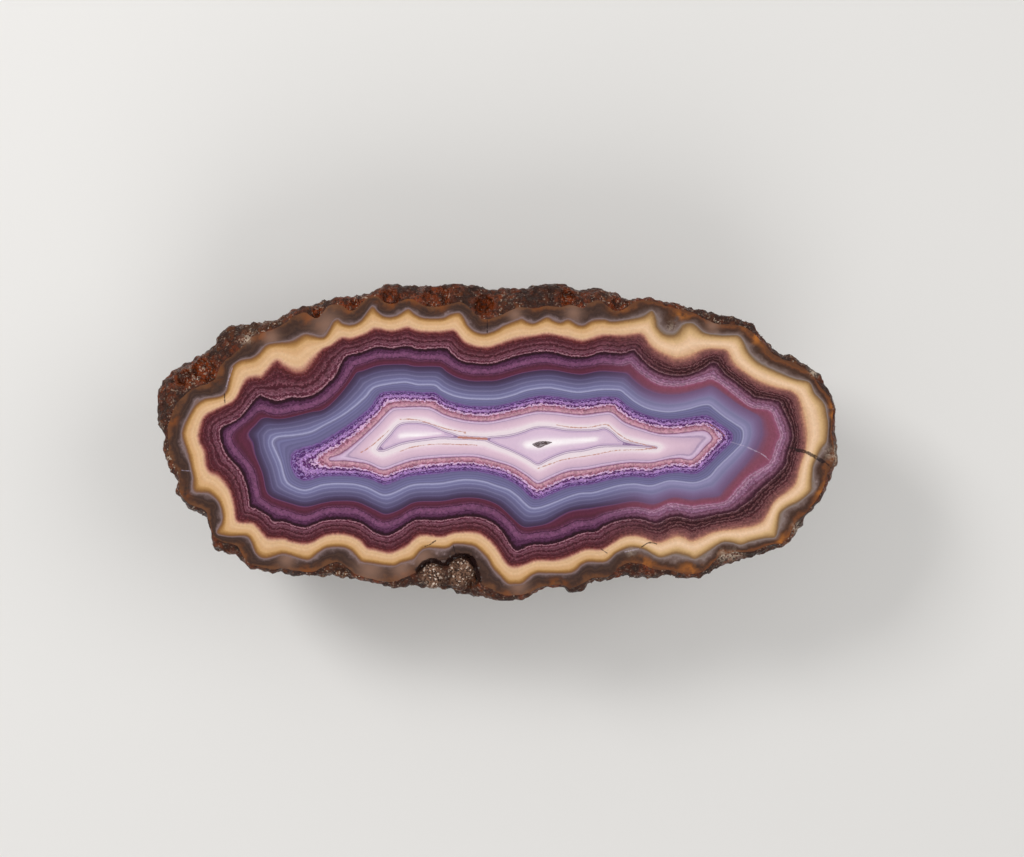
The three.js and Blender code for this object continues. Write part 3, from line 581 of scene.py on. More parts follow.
def shape_rim(skin, edge):
    """Marks the quartz, the rust and the painted shade of the gaps beside the face, and shapes the gaps, the
    lumps and the cups there.
    """
    rust, quartz, dark, lump = (skin.verts.layers.float[name] for name in ("rust", "quartz", "gap", "lump"))
    upper = [vert for vert in skin.verts if vert.co.z > TOP - UPPER_DEPTH * MM]
    places = np.array([(vert.co.x, vert.co.y) for vert in upper]) / MM
    gap = nearest(places, [smooth_line(line, 0.4) for line in GAPS])
    lumps = np.minimum.reduce(
        [np.hypot(*(places - (np.array((x, y)) - MIDDLE)).T) / reach for x, y, reach in LUMPS]
    )
    for vert, away, off in zip(upper, gap, lumps):
        # The gap value paints shade into the gaps beside the lumps.
        vert[dark] = max(0, 1 - away / GAP_REACH) * min(max(off - 0.55, 0) * 3, 1)
        vert[lump] = min(max(1.25 - off, 0) * 2, 1)
        if vert not in edge:
            # A gap is 1.6 mm deep, and a lump is domed, its top 0.25 mm below the face.
            vert.co.z -= 1.6 * MM * math.exp(-((away / 0.4) ** 2))
            vert.co.z = max(vert.co.z, TOP - (0.25 + 0.9 * off**2) * MM) if off < 1 else vert.co.z
    for x, y, reach in QUARTZ_SPOTS:
        for vert, place in zip(upper, places):
            away = math.hypot(*(place - (x, y) + MIDDLE)) / reach
            depth = (TOP - vert.co.z) / (1.5 * MM)
            vert[quartz] = max(vert[quartz], math.exp(-(away**2) - depth**2))
    for x, y, reach in CUPS:
        for vert, place in zip(upper, places):
            away = math.hypot(*(place - (x, y) + MIDDLE)) / reach
            if away < 1.6 and vert.co.z > TOP - UPPER_DEPTH * MM:
                vert[rust] = max(vert[rust], min(1, 1.6 - away))
                if vert not in edge:
                    # Each cup has a raised lip just outside its reach.
                    lip = 0.25 * math.exp(-((away - 1.1) / 0.2) ** 2)
                    vert.co.z += (lip - 0.55 * max(0, 1 - away**2)) * reach * MM


def roughen(skin, rim, settings):
    """Gives the rind its crust: lumps, knobbly crystals and fine grit, none of it past the CAD box."""
    skin.normal_update()
    moves = []
    edge = set(rim)
    for vert in skin.verts:
        place, outward = vert.co / MM, vert.normal
        below = min((TOP - vert.co.z) / (RIM_DEPTH * MM), 1)
        swell = noise.fractal(place / settings.lump_size * MM, 0.7, 2.1, 3)
        knobs = 0.55 - noise.voronoi(place / settings.knob_size * MM)[0][0]
        grit = noise.noise(place / GRIT_SIZE)
        move = settings.lump_height * swell + settings.knob_height * knobs + GRIT_HEIGHT * MM * grit
        fade = RIM_SHARE + (1 - RIM_SHARE) * below
        if vert in edge:
            outward = Vector((outward.x, outward.y, 0)).normalized()
            fade = RIM_SHARE
        full = settings.fullness * max(1 - (TOP - vert.co.z) / (FULL_DEPTH * MM), 0)
        moves.append((vert, outward * (move + full) * fade))
    shape_rim(skin, edge)
    for vert, move in moves:
        vert.co += move
        if vert in edge:
            vert.co.z = TOP
    for vert in skin.verts:
        for i in range(3):
            vert.co[i] = min(max(vert.co[i], CAD_BOX[0][i]), CAD_BOX[1][i])
        if vert not in edge:
            vert.co.z = min(vert.co.z, TOP - 0.02 * MM)


def face_sheet(rim, lines, step):
    """The face as points, small triangles whose sides follow every line, and which line points each is."""
    closed = [rim, *lines["rings"], *lines["eyes"], lines["pocket"]]
    opened = [*lines["thread"], *lines["dark_crack"], *lines["pale_crack"], lines["neck"]]
    points, edges = [], []
    for turn, line in enumerate(closed + opened):
        first = len(points)
        points += [tuple(p) for p in line]
        edges += [(first + i, first + i + 1) for i in range(len(line) - 1)]
        if turn < len(closed):
            edges.append((len(points) - 1, first))
    tree = kdtree.KDTree(len(points))
    for i, (x, y) in enumerate(points):
        tree.insert((x, y, 0), i)
    tree.balance()
    # Between the lines, points in rows of even-sided triangles, and loose ones in the pocket.
    low, high = rim.min(0), rim.max(0)
    draw = random.Random(11)
    grid = []
    for row in range(math.ceil((high[1] - low[1]) / (step * 0.866))):
        for column in range(math.ceil((high[0] - low[0]) / step)):
            grid.append((low[0] + (column + 0.5 * (row % 2)) * step, low[1] + row * step * 0.866))
    centre = lines["pocket"].mean(0)
    grid += [
        (centre[0] + draw.uniform(-1.8, 1.8), centre[1] + draw.uniform(-0.8, 0.8))
        for _ in range(POCKET_POINTS)
    ]
    grid = np.array(grid)
    for (x, y), on_face, in_pocket in zip(grid, inside(grid, rim), inside(grid, lines["pocket"])):
        if on_face and tree.find((x, y, 0))[2] > (0.06 if in_pocket else 0.45 * step):
            points.append((float(x), float(y)))
    sheet = geometry.delaunay_2d_cdt([Vector(p) for p in points], edges, [], 0, 1e-5)
    flat = np.array([tuple(v) for v in sheet[0]])
    middles = np.array([flat[list(face)].mean(0) for face in sheet[2]])
    return flat, [face for face, ok in zip(sheet[2], inside(middles, rim)) if ok], sheet[3]


def stone_mesh(settings):
    """The whole stone as one closed mesh, with the values its materials read on its points."""
    skin, rim_verts = skin_of_stone(settings)
    roughen(skin, rim_verts, settings)
    rim = np.array([(v.co.x / MM, v.co.y / MM) for v in rim_verts])
    lines = face_lines(settings.face_step / MM)
    flat, faces, sources = face_sheet(rim, lines, settings.face_step / MM)
    pocket = lines["pocket"]
    # The pocket's wall falls to its floor over 0.32 mm, and the gaps are rounded grooves.
    deep = inside(flat, pocket)
    fall = np.zeros(len(flat))
    fall[deep] = np.minimum(distance(flat[deep], pocket, True) / 0.32, 1)
    gap = nearest(flat, [smooth_line(line, 0.4) for line in GAPS])
    sink = GAP_DEPTH * np.maximum(1 - (gap / GAP_REACH) ** 2, 0)
    made, lowered = [], set()
    for (x, y), down, sunk, source in zip(flat, fall, sink, sources):
        at_rim = [i for i in source if i < len(rim_verts)]
        if at_rim:
            vert = rim_verts[at_rim[0]]
        else:
            rough = 0.12 * noise.noise(Vector((x, y, 0)) / 0.2) * down
            vert = skin.verts.new((x * MM, y * MM, (FACE - POCKET_DEPTH * down + rough) * MM))
        if vert not in lowered:
            vert.co.z -= sunk * MM
            lowered.add(vert)
        made.append(vert)
    middles = np.array([flat[list(face)].mean(0) for face in faces])
    for face, in_pocket in zip(faces, inside(middles, pocket)):
        a, b, c = (made[i] for i in face)
        if len({a, b, c}) == 3:
            turned = (b.co - a.co).cross(c.co - a.co).z < 0
            piece = skin.faces.new((c, b, a) if turned else (a, b, c))
            piece.material_index = POCKET_WALL if in_pocket else CUT_FACE
    values = {"band": band_numbers(flat, rim, lines)}
    for name in ("thread", "dark_crack", "pale_crack"):
        values[name] = nearest(flat, lines[name])
    # The neck between the eyes is a broad thread, and the gaps are painted with the cracks' dark colour as
    # shade.
    values["thread"] = np.minimum(values["thread"], distance(flat, lines["neck"]) - 0.13)
    values["dark_crack"] = np.minimum(values["dark_crack"], gap - GAP_REACH)
    for name in ("thread", "dark_crack", "pale_crack"):
        values[name] = np.minimum(values[name], 3)
    for name, spots in (("rust", RUST_SPOTS), ("quartz", QUARTZ_SPOTS), ("milk", MILKY_SPOTS)):
        values[name] = np.zeros(len(flat))
        for x, y, reach in spots:
            away = ((flat - (np.array((x, y)) - MIDDLE)) ** 2).sum(1)
            values[name] = np.maximum(values[name], np.exp(-away / (0.7 * reach) ** 2))
    for name, numbers in values.items():
        layer = skin.verts.layers.float[name]
        for vert, number in zip(made, numbers):
            vert[layer] = number
    for face in skin.faces:
        face.smooth = face.material_index != CUT_FACE
    bmesh.ops.triangulate(skin, faces=skin.faces)
    mesh = bpy.data.meshes.new("agate_stone")
    skin.to_mesh(mesh)
    skin.free()
    return mesh


def chalcedony(colours):
    """Polished fortification chalcedony: sharp bands from a steady growth, a glassy skin with soft gloss."""
    made, tree = new_material("polished_banded_chalcedony")
    here = node(tree, "ShaderNodeTexCoord").outputs["Object"]
    band, rust, milk, quartz = (
        node(tree, "ShaderNodeAttribute", attribute_name=name).outputs["Fac"]
        for name in ("band", "rust", "milk", "quartz")
    )
    tenth = node(tree, "ShaderNodeMath", {0: band, 1: 10.0}, operation="DIVIDE")
    shift, speckled = (
        node(tree, "ShaderNodeValToRGB", {0: tenth}, stops=[(place / 10, share) for place, share in table])
        for table in (LINE_SHIFT, SPECKLES)
    )
    # Clusters of crystals 0.9 mm across, and single ones 0.3 mm across.
    clusters = node(tree, "ShaderNodeTexNoise", {"Vector": here, "Scale": 1 / (0.9 * MM), "Detail": 2.0})
    crystals = node(tree, "ShaderNodeTexNoise", {"Vector": here, "Scale": 1 / (0.3 * MM), "Detail": 3.0})
    both = node(tree, "ShaderNodeMath", {0: clusters, 1: crystals}, operation="ADD")
    cells = node(tree, "ShaderNodeTexVoronoi", {"Vector": here, "Scale": 1 / (0.3 * MM)})
    cells = node(tree, "ShaderNodeSeparateColor", {0: cells.outputs["Color"]})
    push = node(tree, "ShaderNodeMath", {0: both, 1: cells}, operation="ADD")
    push = node(tree, "ShaderNodeMath", {0: push, 1: -1.5}, operation="ADD")
    reach = node(tree, "ShaderNodeMath", {0: shift, 1: colours.line_wander}, operation="MULTIPLY")
    moved = node(tree, "ShaderNodeMath", {0: push, 1: reach, 2: band}, operation="MULTIPLY_ADD")
    # The clear outer band is cloudy, with wisps about 2.5 mm across.
    wisps = node(tree, "ShaderNodeTexNoise", {"Vector": here, "Scale": 1 / (2.5 * MM), "Detail": 3.0})
    wisps = node(tree, "ShaderNodeMath", {0: wisps, 1: -0.5}, operation="ADD")
    cloudy = node(
        tree, "ShaderNodeMapRange", {"Value": band, "From Min": 0.95, "From Max": 0.6, "To Max": 1.3}
    )
    moved = node(tree, "ShaderNodeMath", {0: wisps, 1: cloudy, 2: moved}, operation="MULTIPLY_ADD")
    # A pushed point stays in its own band, so the lines between bands stay crisp.
    whole = node(tree, "ShaderNodeMath", {0: band}, operation="FLOOR")
    least = node(tree, "ShaderNodeMath", {0: moved, 1: whole}, operation="MAXIMUM")
    most = node(tree, "ShaderNodeMath", {0: whole, 1: 0.999}, operation="ADD")
    number = node(tree, "ShaderNodeMath", {0: least, 1: most}, operation="MINIMUM")
    along = node(tree, "ShaderNodeSeparateXYZ", {0: here})
    rightward = node(
        tree, "ShaderNodeMapRange", {"Value": along, "From Min": 14 * MM, "From Max": 30 * MM},
        interpolation_type="SMOOTHSTEP",
    )
    painted = None
    for first, last in RAMP_RUNS:
        count = last - first + 1
        share = node(
            tree, "ShaderNodeMapRange",
            {"Value": number, "From Min": float(first), "From Max": float(last + 1)},
        )
        run = []
        for bands in (BANDS, RIGHT_SIDE) if first in RIGHT_BANDS else (BANDS,):
            stops = [
                ((zone - first + min(max(place, RAMP_END), 1 - RAMP_END)) / count, color)
                for zone in range(first, last + 1) for place, color in bands[zone]
            ]
            run.append(node(tree, "ShaderNodeValToRGB", {0: share}, stops=stops))
        tone = run[0]
        if len(run) == 2:
            tone = node(tree, "ShaderNodeMix", {0: rightward, 6: run[0], 7: run[1]}, data_type="RGBA")
        if painted is None:
            painted = tone
            continue
        past = node(tree, "ShaderNodeMath", {0: number, 1: float(first)}, operation="GREATER_THAN")
        painted = node(tree, "ShaderNodeMix", {0: past, 6: painted, 7: tone}, data_type="RGBA")
    # Growth lines a ninth of a band apart, too fine to read one by one.
    ripple = node(tree, "ShaderNodeMath", {0: number, 1: 2 * math.pi * 9}, operation="MULTIPLY")
    ripple = node(tree, "ShaderNodeMath", {0: ripple}, operation="SINE")
    ripple = node(tree, "ShaderNodeMath", {0: ripple, 1: speckled}, operation="MULTIPLY")
    # Light and dark grains, on top of slow changes of tone 14 mm across.
    slow = node(tree, "ShaderNodeTexNoise", {"Vector": here, "Scale": 1 / (14 * MM), "Detail": 2.0})
    speck = node(tree, "ShaderNodeMath", {0: cells.outputs[1], 1: -0.5}, operation="ADD")
    speck = node(tree, "ShaderNodeMath", {0: speck, 1: speckled}, operation="MULTIPLY")
    light = node(tree, "ShaderNodeMath", {0: speck, 1: colours.speckle, 2: 0.96}, operation="MULTIPLY_ADD")
    for part, strength in ((ripple, 0.07), (slow, 0.14)):
        light = node(tree, "ShaderNodeMath", {0: part, 1: strength, 2: light}, operation="MULTIPLY_ADD")
    painted = node(
        tree, "ShaderNodeMix", {0: 1.0, 6: painted, 7: light}, data_type="RGBA", blend_type="MULTIPLY"
    )
    # Rust soaked into the clear outer band, in patches, and more light in it towards the right end.
    patch = node(tree, "ShaderNodeTexNoise", {"Vector": here, "Scale": 1 / (1.6 * MM), "Detail": 5.0})
    patch = node(tree, "ShaderNodeMapRange", {"Value": patch, "From Min": 0.42, "From Max": 0.62})
    outer = node(tree, "ShaderNodeMapRange", {"Value": band, "From Min": 0.85, "From Max": 0.3})
    rusty = node(tree, "ShaderNodeMath", {0: rust, 1: outer}, operation="MULTIPLY")
    rusty = node(tree, "ShaderNodeMath", {0: rusty, 1: patch}, operation="MULTIPLY")
    amber = node(
        tree, "ShaderNodeMix", {0: rightward, 6: colours.amber, 7: colours.clear_amber}, data_type="RGBA"
    )
    # Milky patches, pinkish and nearly even in tone.
    outer = node(
        tree, "ShaderNodeMapRange", {"Value": band, "From Min": 0.97, "From Max": 0.8, "To Max": 0.85}
    )
    milky = node(tree, "ShaderNodeMath", {0: milk, 1: outer}, operation="MULTIPLY")
    # Bits of pale quartz in the outer band.
    clear = node(tree, "ShaderNodeMath", {0: quartz, 1: cells.outputs[2]}, operation="MULTIPLY")
    clear = node(tree, "ShaderNodeMath", {0: clear, 1: crystals}, operation="MULTIPLY")
    layers = [(rusty, amber), (milky, colours.milk), (clear, colours.quartz)]
    # Hairlines: rusty threads, dark cracks and healed pale ones, each about 0.2 mm wide. The dark one also
    # paints shade along the gaps beside the lumps.
    for name, color, width, strength in (
        ("thread", colours.thread, 0.1, 0.75), ("dark_crack", colours.crack_and_gap_shade, 0.13, 0.85),
        ("pale_crack", colours.healed, 0.1, 0.4),
    ):
        away = node(tree, "ShaderNodeAttribute", attribute_name=name).outputs["Fac"]
        away = node(tree, "ShaderNodeMath", {0: push, 1: 0.1, 2: away}, operation="MULTIPLY_ADD")
        line = node(
            tree, "ShaderNodeMapRange",
            {"Value": away, "From Min": width, "From Max": 0.2 * width, "To Max": strength},
        )
        layers.append((line, color))
    for share, color in layers:
        painted = node(tree, "ShaderNodeMix", {0: share, 6: painted, 7: color}, data_type="RGBA")
    polish = node(
        tree, "ShaderNodeMapRange",
        {"Value": crystals, "From Min": 0.3, "From Max": 0.7, "To Min": 0.16, "To Max": 0.26},
    )
    surface = node(
        tree, "ShaderNodeBsdfPrincipled",
        {"Base Color": painted, "Roughness": polish, "IOR": 1.54, "Specular IOR Level": 0.22},
    )
    node(tree, "ShaderNodeOutputMaterial", {0: surface})
    return made


def rind(colours):
    """Weathered rind of a nodule: matt crust of brown clay, grey grit and rust, cracked and knobbly."""
    made, tree = new_material("iron_stained_rind")
    here = node(tree, "ShaderNodeTexCoord").outputs["Object"]
    cups, gap_shade, quartz, lump = (
        node(tree, "ShaderNodeAttribute", attribute_name=name).outputs["Fac"]
        for name in ("rust", "gap", "quartz", "lump")
    )
    wide = node(tree, "ShaderNodeTexNoise", {"Vector": here, "Scale": 1 / (7 * MM), "Detail": 6.0})
    fine = node(tree, "ShaderNodeTexNoise", {"Vector": here, "Scale": 1 / (0.9 * MM), "Detail": 6.0})
    crust = node(tree, "ShaderNodeMix", {0: 0.38, 2: wide, 3: fine})
    color = node(
        tree, "ShaderNodeValToRGB", {0: crust},
        stops=[(0.3, "180904"), (0.42, "321508"), (0.5, "4A210E"), (0.58, "5E3319"), (0.68, "784F32")],
    )
    # Rust gathers in patches about 5 mm across, and lines the cups beside the face.
    patch = node(tree, "ShaderNodeTexNoise", {"Vector": here, "Scale": 1 / (5 * MM), "Detail": 7.0})
    patch = node(
        tree, "ShaderNodeMapRange", {"Value": patch, "From Min": 0.48, "From Max": 0.66, "To Max": 0.75}
    )
    rusty = node(tree, "ShaderNodeMath", {0: patch, 1: cups}, operation="MAXIMUM")
    # Painted shade: dark patches about 2 mm across that stand for hollows in the crust.
    hollow_shade = node(tree, "ShaderNodeTexNoise", {"Vector": here, "Scale": 1 / (2.2 * MM), "Detail": 3.0})
    hollow_shade = node(
        tree, "ShaderNodeMapRange", {"Value": hollow_shade, "From Min": 0.56, "From Max": 0.66, "To Max": 0.6}
    )
    # Bits of quartz, in clusters on the paler crust, and dark grit, each bit about 0.25 mm.
    grit = node(tree, "ShaderNodeTexVoronoi", {"Vector": here, "Scale": 1 / (0.25 * MM)})
    bits = node(tree, "ShaderNodeSeparateColor", {0: grit.outputs["Color"]})
    cluster = node(
        tree, "ShaderNodeMapRange",
        {"Value": crust, "From Min": 0.48, "From Max": 0.6, "To Min": 0.12, "To Max": 0.7},
    )
    pale = node(tree, "ShaderNodeMath", {0: bits, 1: 0.87}, operation="GREATER_THAN")
    pale = node(tree, "ShaderNodeMath", {0: pale, 1: cluster}, operation="MULTIPLY")
    dark = node(tree, "ShaderNodeMath", {0: bits.outputs[1], 1: 0.82}, operation="GREATER_THAN")
    dark = node(tree, "ShaderNodeMath", {0: dark, 1: 0.7}, operation="MULTIPLY")
    # Painted shade darkens the creases between the knobs.
    knobs = node(tree, "ShaderNodeTexVoronoi", {"Vector": here, "Scale": 1 / (1.1 * MM), "Randomness": 1.0})
    crease_shade = node(
        tree, "ShaderNodeMapRange", {"Value": knobs, "From Min": 0.4, "From Max": 0.72, "To Max": 0.75}
    )
    # Chips of quartz at the marked spots, and lumps of its grains, grey-brown, with their brightest grains
    # painted near white as glints.
    chip = node(tree, "ShaderNodeMapRange", {"Value": bits.outputs[2], "From Min": 0.25, "From Max": 0.75})
    chip = node(tree, "ShaderNodeMath", {0: quartz, 1: chip}, operation="MULTIPLY")
    grains_and_glints = node(
        tree, "ShaderNodeValToRGB", {0: bits},
        stops=[(0.1, "3A261C"), (0.5, "6A4A38"), (0.86, "86644F"), (0.97, "D8C4B4")],
    )
    # The gaps beside the lumps get painted shade in the cracks' dark colour.
    for share, tone in (
        (rusty, colours.rust), (hollow_shade, colours.grit_and_shade), (pale, colours.quartz), (dark, colours.grit_and_shade),
        (crease_shade, colours.grit_and_shade), (gap_shade, colours.crack_and_gap_shade), (chip, colours.quartz), (lump, grains_and_glints),
    ):
        color = node(tree, "ShaderNodeMix", {0: share, 6: color, 7: tone}, data_type="RGBA")
    height = node(tree, "ShaderNodeMath", {0: grit, 1: -0.4, 2: fine}, operation="MULTIPLY_ADD")
    height = node(tree, "ShaderNodeMath", {0: knobs, 1: -1.2, 2: height}, operation="MULTIPLY_ADD")
    bump = node(tree, "ShaderNodeBump", {"Height": height, "Strength": 0.9, "Distance": 0.35 * MM})
    # The ore in the cups is glossier than the crust.
    matt = node(
        tree, "ShaderNodeMapRange",
        {"Value": fine, "From Min": 0.3, "From Max": 0.7, "To Min": 0.2, "To Max": 0.7},
    )
    gloss = node(tree, "ShaderNodeMapRange", {"Value": cups, "To Min": 1.0, "To Max": 0.4})
    matt = node(tree, "ShaderNodeMath", {0: matt, 1: gloss}, operation="MULTIPLY")
    surface = node(
        tree, "ShaderNodeBsdfPrincipled",
        {"Base Color": color, "Roughness": matt, "IOR": 1.5, "Specular IOR Level": 0.22, "Normal": bump},
    )
    node(tree, "ShaderNodeOutputMaterial", {0: surface})
    return made


def druse(name, dark, pale, spread):
    """Quartz grains: small clear-to-smoky crystals whose faces glint one by one."""
    made, tree = new_material(name)
    here = node(tree, "ShaderNodeTexCoord").outputs["Object"]
    grains = node(tree, "ShaderNodeTexNoise", {"Vector": here, "Scale": 1 / (spread * MM), "Detail": 3.0})
    share = node(tree, "ShaderNodeMapRange", {"Value": grains, "From Min": 0.45, "From Max": 0.68})
    color = node(tree, "ShaderNodeMix", {0: share, 6: dark, 7: pale}, data_type="RGBA")
    surface = node(tree, "ShaderNodeBsdfPrincipled", {"Base Color": color, "Roughness": 0.28, "IOR": 1.54})
    node(tree, "ShaderNodeOutputMaterial", {0: surface})
    return made


def floor_material(color):
    """Matt painted board: an even pale ground with no sheen."""
    made, tree = new_material("matt_painted_board")
    surface = node(tree, "ShaderNodeBsdfPrincipled", {"Base Color": color, "Roughness": 0.9})
    node(tree, "ShaderNodeOutputMaterial", {0: surface})
    return made


def crystal_bed(name, kept, share):
    """A copy of the stone's kept faces, with the share of the crystals on each point."""
    stone = bpy.data.objects.get("agate_stone")
    if stone is None:
        raise RuntimeError("Make the stone before its crystals")
    shell = bmesh.new()
    shell.from_mesh(stone.data)
    bmesh.ops.delete(shell, geom=[face for face in shell.faces if not kept(face)], context="FACES")
    layer = shell.verts.layers.float.new("crystals")
    for vert in shell.verts:
        vert[layer] = share(vert)
    bed = bpy.data.meshes.new(name + "_bed")
    shell.to_mesh(bed)
    shell.free()
    return bed


def grow_crystals(bed, name, material, count, size):
    """Sets crystals on the bed by Geometry Nodes, and keeps them as a plain mesh inside the CAD box."""
    tree = bpy.data.node_groups.new(name, "GeometryNodeTree")
    sockets = {}
    for label, kind in (
        ("Geometry", "Geometry"), ("Grains", "Int"), ("Grain size", "Float"), ("Seed", "Int"),
    ):
        sockets[label] = tree.interface.new_socket(label, in_out="INPUT", socket_type="NodeSocket" + kind)
    tree.interface.new_socket("Geometry", in_out="OUTPUT", socket_type="NodeSocketGeometry")
    given = node(tree, "NodeGroupInput")
    marked = node(tree, "GeometryNodeInputNamedAttribute", {"Name": "crystals"}, data_type="FLOAT")
    per_area = node(tree, "ShaderNodeMath", {0: given.outputs["Grains"], 1: marked}, operation="MULTIPLY")
    spread = node(
        tree, "GeometryNodeDistributePointsOnFaces",
        {"Mesh": given.outputs["Geometry"], "Density": per_area, "Seed": given.outputs["Seed"]},
    )
    crystal = node(
        tree, "GeometryNodeMeshCone", {"Vertices": 6, "Radius Top": 0.25, "Radius Bottom": 1.0, "Depth": 1.8}
    )
    # Each crystal leans up to 40 degrees and has its own turn and size.
    turned = node(
        tree, "FunctionNodeRandomValue", {0: (-0.7, -0.7, -3.1), 1: (0.7, 0.7, 3.1)}, data_type="FLOAT_VECTOR"
    )
    pose = node(
        tree, "FunctionNodeRotateRotation", {0: spread.outputs["Rotation"], 1: turned}, rotation_space="LOCAL"
    )
    sized = node(tree, "FunctionNodeRandomValue", {2: 0.35, 3: 1.0}, data_type="FLOAT")
    scale = node(tree, "ShaderNodeMath", {0: sized, 1: given.outputs["Grain size"]}, operation="MULTIPLY")
    placed = node(
        tree, "GeometryNodeInstanceOnPoints",
        {"Points": spread, "Instance": crystal, "Rotation": pose, "Scale": scale},
    )
    real = node(tree, "GeometryNodeRealizeInstances", {0: placed})
    painted = node(tree, "GeometryNodeSetMaterial", {"Geometry": real, "Material": material})
    node(tree, "NodeGroupOutput", {0: painted})
    chosen = {"Grains": count, "Grain size": size, "Seed": CRYSTAL_SEED}
    made = modified(
        bed, "NODES", {sockets[label].identifier: value for label, value in chosen.items()}, node_group=tree
    )
    for vert in made.vertices:
        vert.co = [min(max(c, low), high) for c, low, high in zip(vert.co, *CAD_BOX)]
    piece = bpy.data.objects.new(name, made)
    bpy.context.scene.collection.objects.link(piece)
    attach(piece, "root")


class AgateStone(bpy.types.PropertyGroup):
    face_step: bpy.props.FloatProperty(
        name="Face step", description="Width of the face's small triangles", default=0.44 * MM, unit="LENGTH"
    )
    skin_step: bpy.props.FloatProperty(
        name="Rind step", description="Longest side of the rind's triangles near the rim", default=0.5 * MM,
        unit="LENGTH",
    )
    fine_reach: bpy.props.FloatProperty(
        name="Fine reach", description="How far below the face the rind is at its finest", default=8 * MM,
        unit="LENGTH",
    )
    lump_size: bpy.props.FloatProperty(
        name="Lump size", description="Width of the rind's soft lumps", default=4.5 * MM, unit="LENGTH"
    )
    lump_height: bpy.props.FloatProperty(
        name="Lump height", description="Height of the rind's soft lumps", default=0.45 * MM, unit="LENGTH"
    )
    knob_size: bpy.props.FloatProperty(
        name="Knob size", description="Width of the rind's knobbly crystals", default=1.5 * MM, unit="LENGTH"
    )
    knob_height: bpy.props.FloatProperty(
        name="Knob height", description="Height of the rind's knobbly crystals", default=0.8 * MM,
        unit="LENGTH",
    )
    fullness: bpy.props.FloatProperty(
        name="Fullness", description="How far the rind is filled out again after smoothing",
        default=0.26 * MM, unit="LENGTH",
    )
    grain_size: bpy.props.FloatProperty(
        name="Grain size", description="Half the width of the rim's quartz grains", default=0.13 * MM,
        unit="LENGTH",
    )
    grain_count: bpy.props.IntProperty(
        name="Grain count", description="Quartz grains to a square metre of rind beside the rim",
        default=900000,
    )
    crystal_size: bpy.props.FloatProperty(
        name="Crystal size", description="Half the width of the pocket's crystals", default=0.08 * MM,
        unit="LENGTH",
    )
    crystal_count: bpy.props.IntProperty(
        name="Crystal count", description="Crystals to a square metre of the pocket", default=14000000
    )


class AgateColours(bpy.types.PropertyGroup):
    amber: bpy.props.FloatVectorProperty(
        name="Amber", description="Rust soaked into the clear outer band", subtype="COLOR", size=4,
        default=linear("7C441E"),
    )
    clear_amber: bpy.props.FloatVectorProperty(
        name="Clear amber", description="The same rust towards the right end, where light comes through",
        subtype="COLOR", size=4, default=linear("B06A2C"),
    )
    rust: bpy.props.FloatVectorProperty(
        name="Rust", description="Iron stain on the rind", subtype="COLOR", size=4, default=linear("7C3410")
    )
    milk: bpy.props.FloatVectorProperty(
        name="Milky patches", description="Pinkish milky patches in the clear outer band", subtype="COLOR",
        size=4, default=linear("886757"),
    )
    thread: bpy.props.FloatVectorProperty(
        name="Thread", description="Rusty threads round the eyes", subtype="COLOR", size=4,
        default=linear("B4704F"),
    )
    # Open cracks, and also the painted shade in the gaps beside the lumps.
    crack_and_gap_shade: bpy.props.FloatVectorProperty(
        name="Crack", description="Open cracks and the dark gaps", subtype="COLOR", size=4,
        default=linear("221415"),
    )
    # Dark grit on the rind, and the painted shade in its hollows and creases.
    grit_and_shade: bpy.props.FloatVectorProperty(
        name="Soil", description="Dirt in the rind's hollows and creases", subtype="COLOR", size=4,
        default=linear("27120A"),
    )
    healed: bpy.props.FloatVectorProperty(
        name="Healed crack", description="Cracks filled with pale quartz", subtype="COLOR", size=4,
        default=linear("C9BBD0"),
    )
    quartz: bpy.props.FloatVectorProperty(
        name="Quartz", description="Pale quartz grains", subtype="COLOR", size=4, default=linear("C4B09C")
    )
    line_wander: bpy.props.FloatProperty(
        name="Line wander", description="How far grains push a band's lines, as a share of its width",
        default=0.22,
    )
    speckle: bpy.props.FloatProperty(
        name="Speckle", description="How strongly light and dark grains differ", default=0.55
    )


class AgateStage(bpy.types.PropertyGroup):
    floor: bpy.props.FloatVectorProperty(
        name="Floor", description="Colour of the floor", subtype="COLOR", size=4, default=linear("E4E2DF")
    )
    lens_height: bpy.props.FloatProperty(
        name="Lens height", description="The camera's height above the polished face", default=460.8 * MM,
        unit="LENGTH",
    )
    key_power: bpy.props.FloatProperty(
        name="Key light", description="Power of the main soft light", default=2.15, unit="POWER"
    )


class BuildStone(bpy.types.Operator):
    """Builds the stone: banded polished face, pocket and rough rind"""

    bl_idname = "agate.stone"
    bl_label = "Stone"

    def execute(self, context):
        scene = context.scene
        mesh = stone_mesh(scene.agate_stone)
        wall = druse("smoky_quartz_pocket", linear("6A5656"), linear("DCD2D8"), 0.35)
        # In the order of RIND, CUT_FACE and POCKET_WALL.
        for material in (rind(scene.agate_colours), chalcedony(scene.agate_colours), wall):
            mesh.materials.append(material)
        piece = bpy.data.objects.new("agate_stone", mesh)
        scene.collection.objects.link(piece)
        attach(piece, "root")
        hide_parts("agate")
        return {"FINISHED"}


class BuildRimGrains(bpy.types.Operator):
    """Sets quartz grains on the rind beside the polished face"""

    bl_idname = "agate.rim_grains"
    bl_label = "Rim grains"

    def execute(self, context):
        settings = context.scene.agate_stone
        reach = GRAIN_DEPTH * MM

        def share(vert):
            patch = noise.noise(vert.co / (5 * MM)) + 0.35
            return max(0, 1 - (TOP - vert.co.z) / reach) * min(max(patch * 1.6, 0), 1)

        bed = crystal_bed(
            "rim_grains",
            lambda face: face.material_index == RIND and face.calc_center_median().z >= TOP - reach, share,
        )
        material = druse("rim_quartz_grains", linear("5E3826"), context.scene.agate_colours.quartz, 1.4)
        grow_crystals(bed, "rim_grains", material, settings.grain_count, settings.grain_size)
        return {"FINISHED"}


